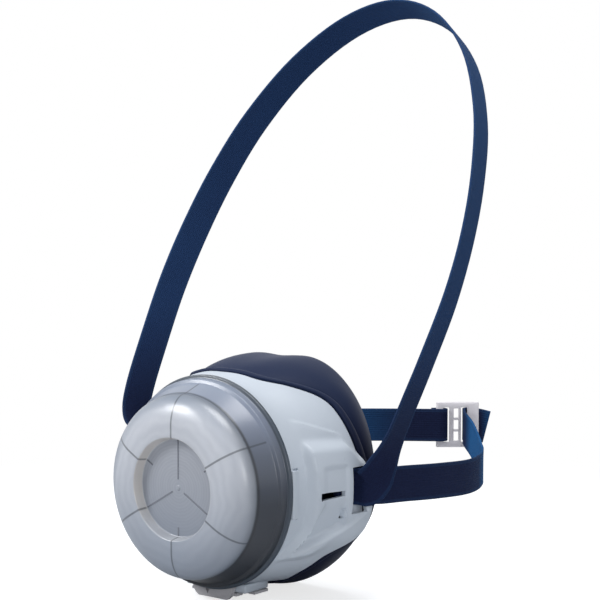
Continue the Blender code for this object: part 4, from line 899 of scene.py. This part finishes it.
def wall_of_cup(share, swell, inward=0.0):
    """Between the bead and the rear rim; swell lets the cheeks and nose stand out."""
    def reach(angle):
        low = seam_radius(angle) + 0.0003
        return low + (face_radius(angle) - low) * share + swell * math.sin(math.pi * share) - inward

    def back(angle):
        low = seam_back(angle) + BEAD_LENGTH
        return low + (RIM_TO_SEAL - 0.0016 - low) * share
    return reach, back


cuff_in = NECK_RADIUS + 0.0003
cuff_out = cuff_in + CUFF_WALL
cuff_end = CUFF_FRONT + CUFF_LENGTH
outer_wall = ((0.12, 0.0024), (0.25, 0.0024), (0.45, 0.0023), (0.65, 0.0022), (0.85, 0.0020))
profile = [
    cuff(cuff_in, CUFF_FRONT), cuff(cuff_out, CUFF_FRONT), cuff(cuff_out, cuff_end - 0.0010),
    bead(-SHELL_WALL - 0.0012, 0.0006), bead(0.0002, 0.0004), bead(BEAD_RISE - 0.0006, 0.0004),
    bead(BEAD_RISE, 0.0012), bead(BEAD_RISE + 0.0001, 0.0025), bead(BEAD_RISE, BEAD_LENGTH - 0.0014),
    bead(BEAD_RISE - 0.0006, BEAD_LENGTH - 0.0006), bead(0.0001, BEAD_LENGTH - 0.0001),
    bead(0.0001, BEAD_LENGTH + 0.0005), *[wall_of_cup(share, swell) for share, swell in outer_wall],
    lip(face_radius, -0.0002, 0.0012), lip(face_radius, -0.0014, 0.0002), lip(face_radius, -0.0034, 0.0),
    lip(middle_of_lip, 0.0, 0.0022), lip(opening_radius, 0.0, 0.0073), lip(opening_radius, -0.0003, 0.0081),
    lip(opening_radius, 0.0004, 0.0087), lip(middle_of_lip, 0.0003, 0.0042),
    lip(face_radius, -FACEPIECE_WALL - 0.0018, 0.0036), wall_of_cup(0.7, 0.0022, FACEPIECE_WALL),
    wall_of_cup(0.35, 0.0022, FACEPIECE_WALL), bead(-SHELL_WALL - 0.0020, FACEPIECE_WALL + 0.0017),
    cuff(NECK_LIP_RADIUS + 0.0022, cuff_end + 0.0012), cuff(cuff_in, cuff_end + 0.0002)]
points, faces = loft([ring_at(reach, back, FACE_STEPS) for reach, back in profile])
cup = piece("face_cup", points, faces, rubber, sharp=60)
rounding = cup.modifiers.new("rounding", "SUBSURF")
rounding.levels = 1
rounding.render_levels = 1
EXHALE_PORT_DOWN = 0.0372
EXHALE_PORT_RADIUS = 0.0108
EXHALE_PORT_BACK = 0.0226
EXHALE_PORT_DEPTH = 0.0120
port = [(0.0, 0.0), (EXHALE_PORT_RADIUS, 0.0), (EXHALE_PORT_RADIUS, -EXHALE_PORT_DEPTH),
        (0.0, -EXHALE_PORT_DEPTH)]
points, faces = turned_mesh(port, 64, (0.0, -EXHALE_PORT_DOWN), EXHALE_PORT_BACK)
combine(cup, [piece("exhale_port", points, faces)], "DIFFERENCE")
smooth(cup, 60)
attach(cup, "mask")
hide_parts("facepiece")


# ================================================================ head strap
# 18 mm elastic webbing, knitted flat from navy polyester over rubber threads. One band runs from the left
# pocket over the head to the right one; its ends are turned round the steel bars inside the pockets.

STRAP_WIDTH = 0.0180
STRAP_THICKNESS = 0.0012
STRAP_LEAN = math.radians(30.2)
STRAP_TWIST = math.radians(13)
STRAP_TURN_START = 0.000
STRAP_TURN_END = 0.028
UPRIGHT = Vector((0.0, 0.0, 1.0))
HEAD_LEFT_START = ((0.0681, -0.0247, -0.0004), (0.0704, -0.0237, 0.0006), (0.0729, -0.0216, 0.0048),
                   (0.0750, -0.0193, 0.0110), (0.0778, -0.0171, 0.0190), (0.0816, -0.0149, 0.0290),
                   (0.0850, -0.0122, 0.0400))
HEAD_RIGHT_START = ((-0.0681, -0.0247, -0.0004), (-0.0712, -0.0246, 0.0003), (-0.0765, -0.0239, 0.0044),
                    (-0.0826, -0.0230, 0.0115), (-0.0864, -0.0208, 0.0220), (-0.0876, -0.0160, 0.0360))
HEAD_ARCH = ((0.0890, -0.0034, 0.0600), (0.0911, 0.0143, 0.0900), (0.0895, 0.0318, 0.1200),
             (0.0842, 0.0489, 0.1500), (0.0743, 0.0662, 0.1800), (0.0562, 0.0838, 0.2100),
             (0.0300, 0.0965, 0.2320), (0.0, 0.1010, 0.2400))

# Polyester and rubber webbing: threads cross the band every 0.9 mm and cords run along it every 1.2 mm. Each
# edge has a thin selvedge, and the nap turns blue where light grazes it.
webbing, tree, shader, spot = new_material("navy_elastic_webbing")
weave = node(tree, "UVMap", uv_map="weave").outputs[0]
parts = node(tree, "SeparateXYZ", {0: weave})
run, across_band = parts.outputs["X"], parts.outputs["Y"]
picks = calc(tree, "SINE", product(tree, run, math.tau / 0.0009))
cords = calc(tree, "COSINE", product(tree, across_band, math.tau / 0.0012))
knit = calc(tree, "MULTIPLY_ADD", picks, 0.6, cords)
from_middle = calc(tree, "ABSOLUTE", across_band)
selvedge = soft_fade(tree, from_middle, STRAP_WIDTH / 2 - 0.0020, STRAP_WIDTH / 2 - 0.0015)
fuzz = noise(tree, spot, 0.0010, 3.0)
# Painted light: the webbing is dark navy low down and brighter blue higher up, where more light falls on it
low = mottled(tree, spot, 0.030, 2.0, "#10132f", "#151937")
high = mottled(tree, spot, 0.030, 2.0, "#1b3157", "#203a62")
parts = node(tree, "SeparateXYZ", {0: spot})
flat_x, depth, climb = parts.outputs["X"], parts.outputs["Y"], parts.outputs["Z"]
tint = mix(tree, soft_fade(tree, climb, 0.015, 0.090), low, high)
# Painted light: the neck strap is a brighter blue where it turns at the buckle, and behind the mask on the
# wearer's right, where it faces the light
below = fade(tree, climb, 0.060, 0.040)
turned = product(tree, fade(tree, depth, 0.070, 0.086), fade(tree, flat_x, 0.042, 0.048), below)
tint = mix(tree, turned, tint, "#215a90")
right_half = fade(tree, flat_x, 0.014, -0.006, 0.0, 0.85)
behind = product(tree, fade(tree, depth, 0.015, 0.040), right_half, below)
tint = mix(tree, behind, tint, "#1d4672")
tint = mix(tree, product(tree, fuzz, 0.22), tint, "#253f66")
tint = mix(tree, product(tree, selvedge, 0.22), tint, "#27456b")
relief = bump(tree, knit, 0.35, 0.0002)
fill(shader, {"Base Color": tint, "Roughness": 0.80, "Specular IOR Level": 0.12, "Normal": relief,
              "Sheen Weight": 0.13, "Sheen Roughness": 0.35, "Sheen Tint": linear("#3f8fd0")})


def curve_through(points, steps):
    """Points of a smooth curve that passes through every given point."""
    ends = [points[0] * 2 - points[1], *points, points[-1] * 2 - points[-2]]
    route = []
    for before, start, end, after in zip(ends, ends[1:], ends[2:], ends[3:]):
        for i in range(steps):
            t = i / steps
            bend = (before * 2 - start * 5 + end * 4 - after) * t * t
            route.append(0.5 * (start * 2 + (end - before) * t + bend
                                + (start * 3 - before - end * 3 + after) * t * t * t))
    return route + [points[-1]]


def strap_across(point, lean_share):
    """The direction of the head strap's width: upright at its ends, then square to the leaning loop."""
    side = 1 if point.x >= 0 else -1
    twist = STRAP_TWIST * lean_share
    leaning = Vector((side * math.sin(twist), -math.cos(twist) * math.cos(STRAP_LEAN),
                      math.cos(twist) * math.sin(STRAP_LEAN)))
    return UPRIGHT.lerp(leaning, ramp(point.z, STRAP_TURN_START, STRAP_TURN_END))


# The band's cross-section: flat faces with round selvedges, as (share of half width, share of half thickness)
BAND_SECTION = [(-1.0, 0.0), (-0.985, 0.7), (-0.95, 1.0)] + [(-0.9 + 0.2 * i, 1.0) for i in range(10)]
BAND_SECTION += [(0.95, 1.0), (0.985, 0.7), (1.0, 0.0), (0.985, -0.7), (0.95, -1.0)]
BAND_SECTION += [(0.9 - 0.2 * i, -1.0) for i in range(10)] + [(-0.95, -1.0), (-0.985, -0.7)]


def band(name, route, across, stands_for):
    """A length of webbing along a route; across gives the direction of its width at each point."""
    points = []
    runs = [0.0]
    for i, point in enumerate(route):
        tangent = (route[min(i + 1, len(route) - 1)] - route[max(i - 1, 0)]).normalized()
        side = (across[i] - tangent * across[i].dot(tangent)).normalized()
        out = tangent.cross(side)
        if i:
            runs.append(runs[-1] + (point - route[i - 1]).length)
        points += [point + side * (w * STRAP_WIDTH / 2) + out * (t * STRAP_THICKNESS / 2)
                   for w, t in BAND_SECTION]
    count = len(BAND_SECTION)
    widths = [w * STRAP_WIDTH / 2 for w, t in BAND_SECTION]
    faces = []
    places = []
    for j in range(len(route) - 1):
        for i in range(count):
            k = (i + 1) % count
            faces.append((count * j + i, count * j + k, count * (j + 1) + k, count * (j + 1) + i))
            places.append([(runs[j], widths[i]), (runs[j], widths[k]),
                           (runs[j + 1], widths[k]), (runs[j + 1], widths[i])])
    last = count * (len(route) - 1)
    faces.append(tuple(range(count - 1, -1, -1)))
    places.append([(0.0, w) for w in reversed(widths)])
    faces.append(tuple(range(last, last + count)))
    places.append([(runs[-1], w) for w in widths])
    mesh = bpy.data.meshes.new(name)
    mesh.from_pydata([tuple(p) for p in points], [], faces)
    layer = mesh.uv_layers.new(name="weave")
    flat = [value for face in places for corner in face for value in corner]
    layer.uv.foreach_set("vector", flat)
    work = bmesh.new()
    work.from_mesh(mesh)
    if work.calc_volume(signed=True) < 0:
        bmesh.ops.reverse_faces(work, faces=work.faces)
    work.to_mesh(mesh)
    work.free()
    made = add_object(name, mesh)
    mesh.materials.append(webbing)
    smooth(made, 50)
    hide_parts(*stands_for)
    return made


def vectors(table):
    return [Vector(point) for point in table]


def from_pocket(table):
    """Points of a table that lists (x, back, z)."""
    return [Vector((x, at_depth(back), z)) for x, back, z in table]


def mirrored(points):
    return [Vector((-p[0], p[1], p[2])) for p in points]


# The webbing goes half way round the bar in the pocket and comes out on its outer side
HEAD_POCKET_EXIT = ((0.0600, 0.0328, 0.0), (0.0627, 0.0351, -0.0002), (0.0653, 0.0357, -0.0003))
bar_reach = ANCHOR_RADIUS + 0.0003 + STRAP_THICKNESS / 2
turns = [math.radians(-180 + 180 * i / 8) for i in range(9)]
left = from_pocket([(ANCHOR_X + bar_reach * math.cos(a), ANCHOR_BACK + bar_reach * math.sin(a), 0.0)
                    for a in turns])
left += from_pocket(HEAD_POCKET_EXIT)
right = mirrored(left) + vectors(HEAD_RIGHT_START) + mirrored(HEAD_ARCH[:-1])
left += vectors(HEAD_LEFT_START + HEAD_ARCH)
route = curve_through(left + right[::-1], 6)
top = HEAD_ARCH[-1][2]
across = [strap_across(point, 1 - ramp(point.z, 0.4 * top, top)) for point in route]
head_band = band("head_band", route, across, ["head_strap", "strap_wrap_left", "strap_wrap_right"])
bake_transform(head_band)


# ================================================================ neck strap and buckle
# The same webbing in two lengths. The right one is looped and tacked on one bar of a ladder buckle; the left
# one is threaded through the buckle and its cut tail hangs behind, so the loop's length can be set.

NECK_LEFT_ROUTE = ((0.0652, -0.0155, -0.0010), (0.0681, -0.0095, -0.0015), (0.0715, 0.0040, -0.0020),
                   (0.0755, 0.0280, -0.0035), (0.0750, 0.0570, -0.0053), (0.0680, 0.0800, -0.0050),
                   (0.0600, 0.0905, -0.0010), (0.0500, 0.0992, 0.0055), (0.0415, 0.1050, 0.0105))
NECK_RIGHT_ROUTE = ((-0.0653, -0.0152, -0.0008), (-0.0682, -0.0090, 0.0000), (-0.0730, 0.0080, 0.0025),
                    (-0.0680, 0.0310, 0.0070), (-0.0450, 0.0500, 0.0110), (-0.0093, 0.0735, 0.0120),
                    (0.0105, 0.0886, 0.0120))
BUCKLE_CENTRE = Vector((0.0340, 0.1085, 0.0120))
BUCKLE_TURN = math.radians(38.3)
BUCKLE_HALF_LENGTH = 0.0117
BUCKLE_HALF_HEIGHT = 0.0125
BUCKLE_THICKNESS = 0.0018
BUCKLE_SLOT_HALF_HEIGHT = 0.0096
BUCKLE_STRAP_SLOTS = ((-0.0079, -0.0045), (0.0019, 0.0053))
BUCKLE_TIED_SLOT = (-0.0021, 0.0006)
BUCKLE_TIE = 0.0012


def buckle_point(along, out, up):
    """A point in the buckle's own directions: along the strap, towards the neck, and up."""
    length = Vector((math.cos(BUCKLE_TURN), math.sin(BUCKLE_TURN), 0.0))
    normal = Vector((math.sin(BUCKLE_TURN), -math.cos(BUCKLE_TURN), 0.0))
    return BUCKLE_CENTRE + length * along + normal * out + Vector((0.0, 0.0, up))


# Where the webbing comes out on the pocket's inner side, as (x, back, z), and its tail and its loop by the
# buckle's slots, as (along the strap, towards the neck, up)
NECK_POCKET_EXIT = ((0.0552, 0.0318, 0.0), (0.0560, 0.0350, 0.0), (0.0592, 0.0385, -0.0004),
                    (0.0630, 0.0420, -0.0008))
NECK_TAIL = ((0.0, 0.0012, 0.0), (0.0, -0.0018, 0.0), (0.0022, -0.0040, 0.0), (0.0065, -0.0042, -0.0004),
             (0.0130, -0.0046, -0.0020))
NECK_LOOP = ((-0.0088, 0.0022, 0.0), (-0.0022, 0.0026, 0.0), (0.0, 0.0010, 0.0), (0.0, -0.0010, 0.0),
             (-0.0022, -0.0026, 0.0), (-0.0080, -0.0022, 0.0))


def beside_slot(slot, table):
    """Points of a table whose distances along the strap start at the slot's middle."""
    return [buckle_point(sum(slot) / 2 + along, out, up) for along, out, up in table]


left = from_pocket(NECK_POCKET_EXIT) + vectors(NECK_LEFT_ROUTE)
left += beside_slot(BUCKLE_STRAP_SLOTS[1], NECK_TAIL)
route = curve_through(left, 8)
neck_left = band("neck_band_left", route, [UPRIGHT] * len(route), ["neck_strap_left"])
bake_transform(neck_left)

right = mirrored(from_pocket(NECK_POCKET_EXIT)) + vectors(NECK_RIGHT_ROUTE)
right += beside_slot(BUCKLE_STRAP_SLOTS[0], NECK_LOOP)
route = curve_through(right, 8)
neck_right = band("neck_band_right", route, [UPRIGHT] * len(route), ["neck_strap_right"])
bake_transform(neck_right)

# Acetal, natural colour: waxy and slightly translucent, a faintly pink white.
acetal, tree, shader, spot = new_material("natural_acetal")
tint = mottled(tree, spot, 0.010, 2.0, "#dcd8dd", "#e6e3e7")
fill(shader, {"Base Color": tint, "Roughness": 0.32, "IOR": 1.48, "Subsurface Weight": 0.4,
              "Subsurface Radius": (0.003, 0.003, 0.003), "Subsurface Scale": 1.0})

buckle = cutter("ladder_buckle", (-BUCKLE_HALF_LENGTH, -BUCKLE_THICKNESS / 2, -BUCKLE_HALF_HEIGHT),
                (BUCKLE_HALF_LENGTH, BUCKLE_THICKNESS / 2, BUCKLE_HALF_HEIGHT), 0.0005)
buckle.data.materials.append(acetal)
half = BUCKLE_SLOT_HALF_HEIGHT
holes = [cutter(f"strap_slot_{k}", (low, -0.0030, -half), (high, 0.0030, half), 0.0003)
         for k, (low, high) in enumerate(BUCKLE_STRAP_SLOTS)]
step = 2 * half / 3
for k in range(3):
    bottom = -half + step * k + BUCKLE_TIE / 2
    holes.append(cutter(f"square_hole_{k}", (BUCKLE_TIED_SLOT[0], -0.0030, bottom),
                        (BUCKLE_TIED_SLOT[1], 0.0030, bottom + step - BUCKLE_TIE), 0.0003))
combine(buckle, holes, "DIFFERENCE")
buckle.data.transform(Matrix.Translation(BUCKLE_CENTRE) @ Matrix.Rotation(BUCKLE_TURN, 4, "Z"))
smooth(buckle, 30)
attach(buckle, "neck_loop")
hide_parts("strap_buckle")
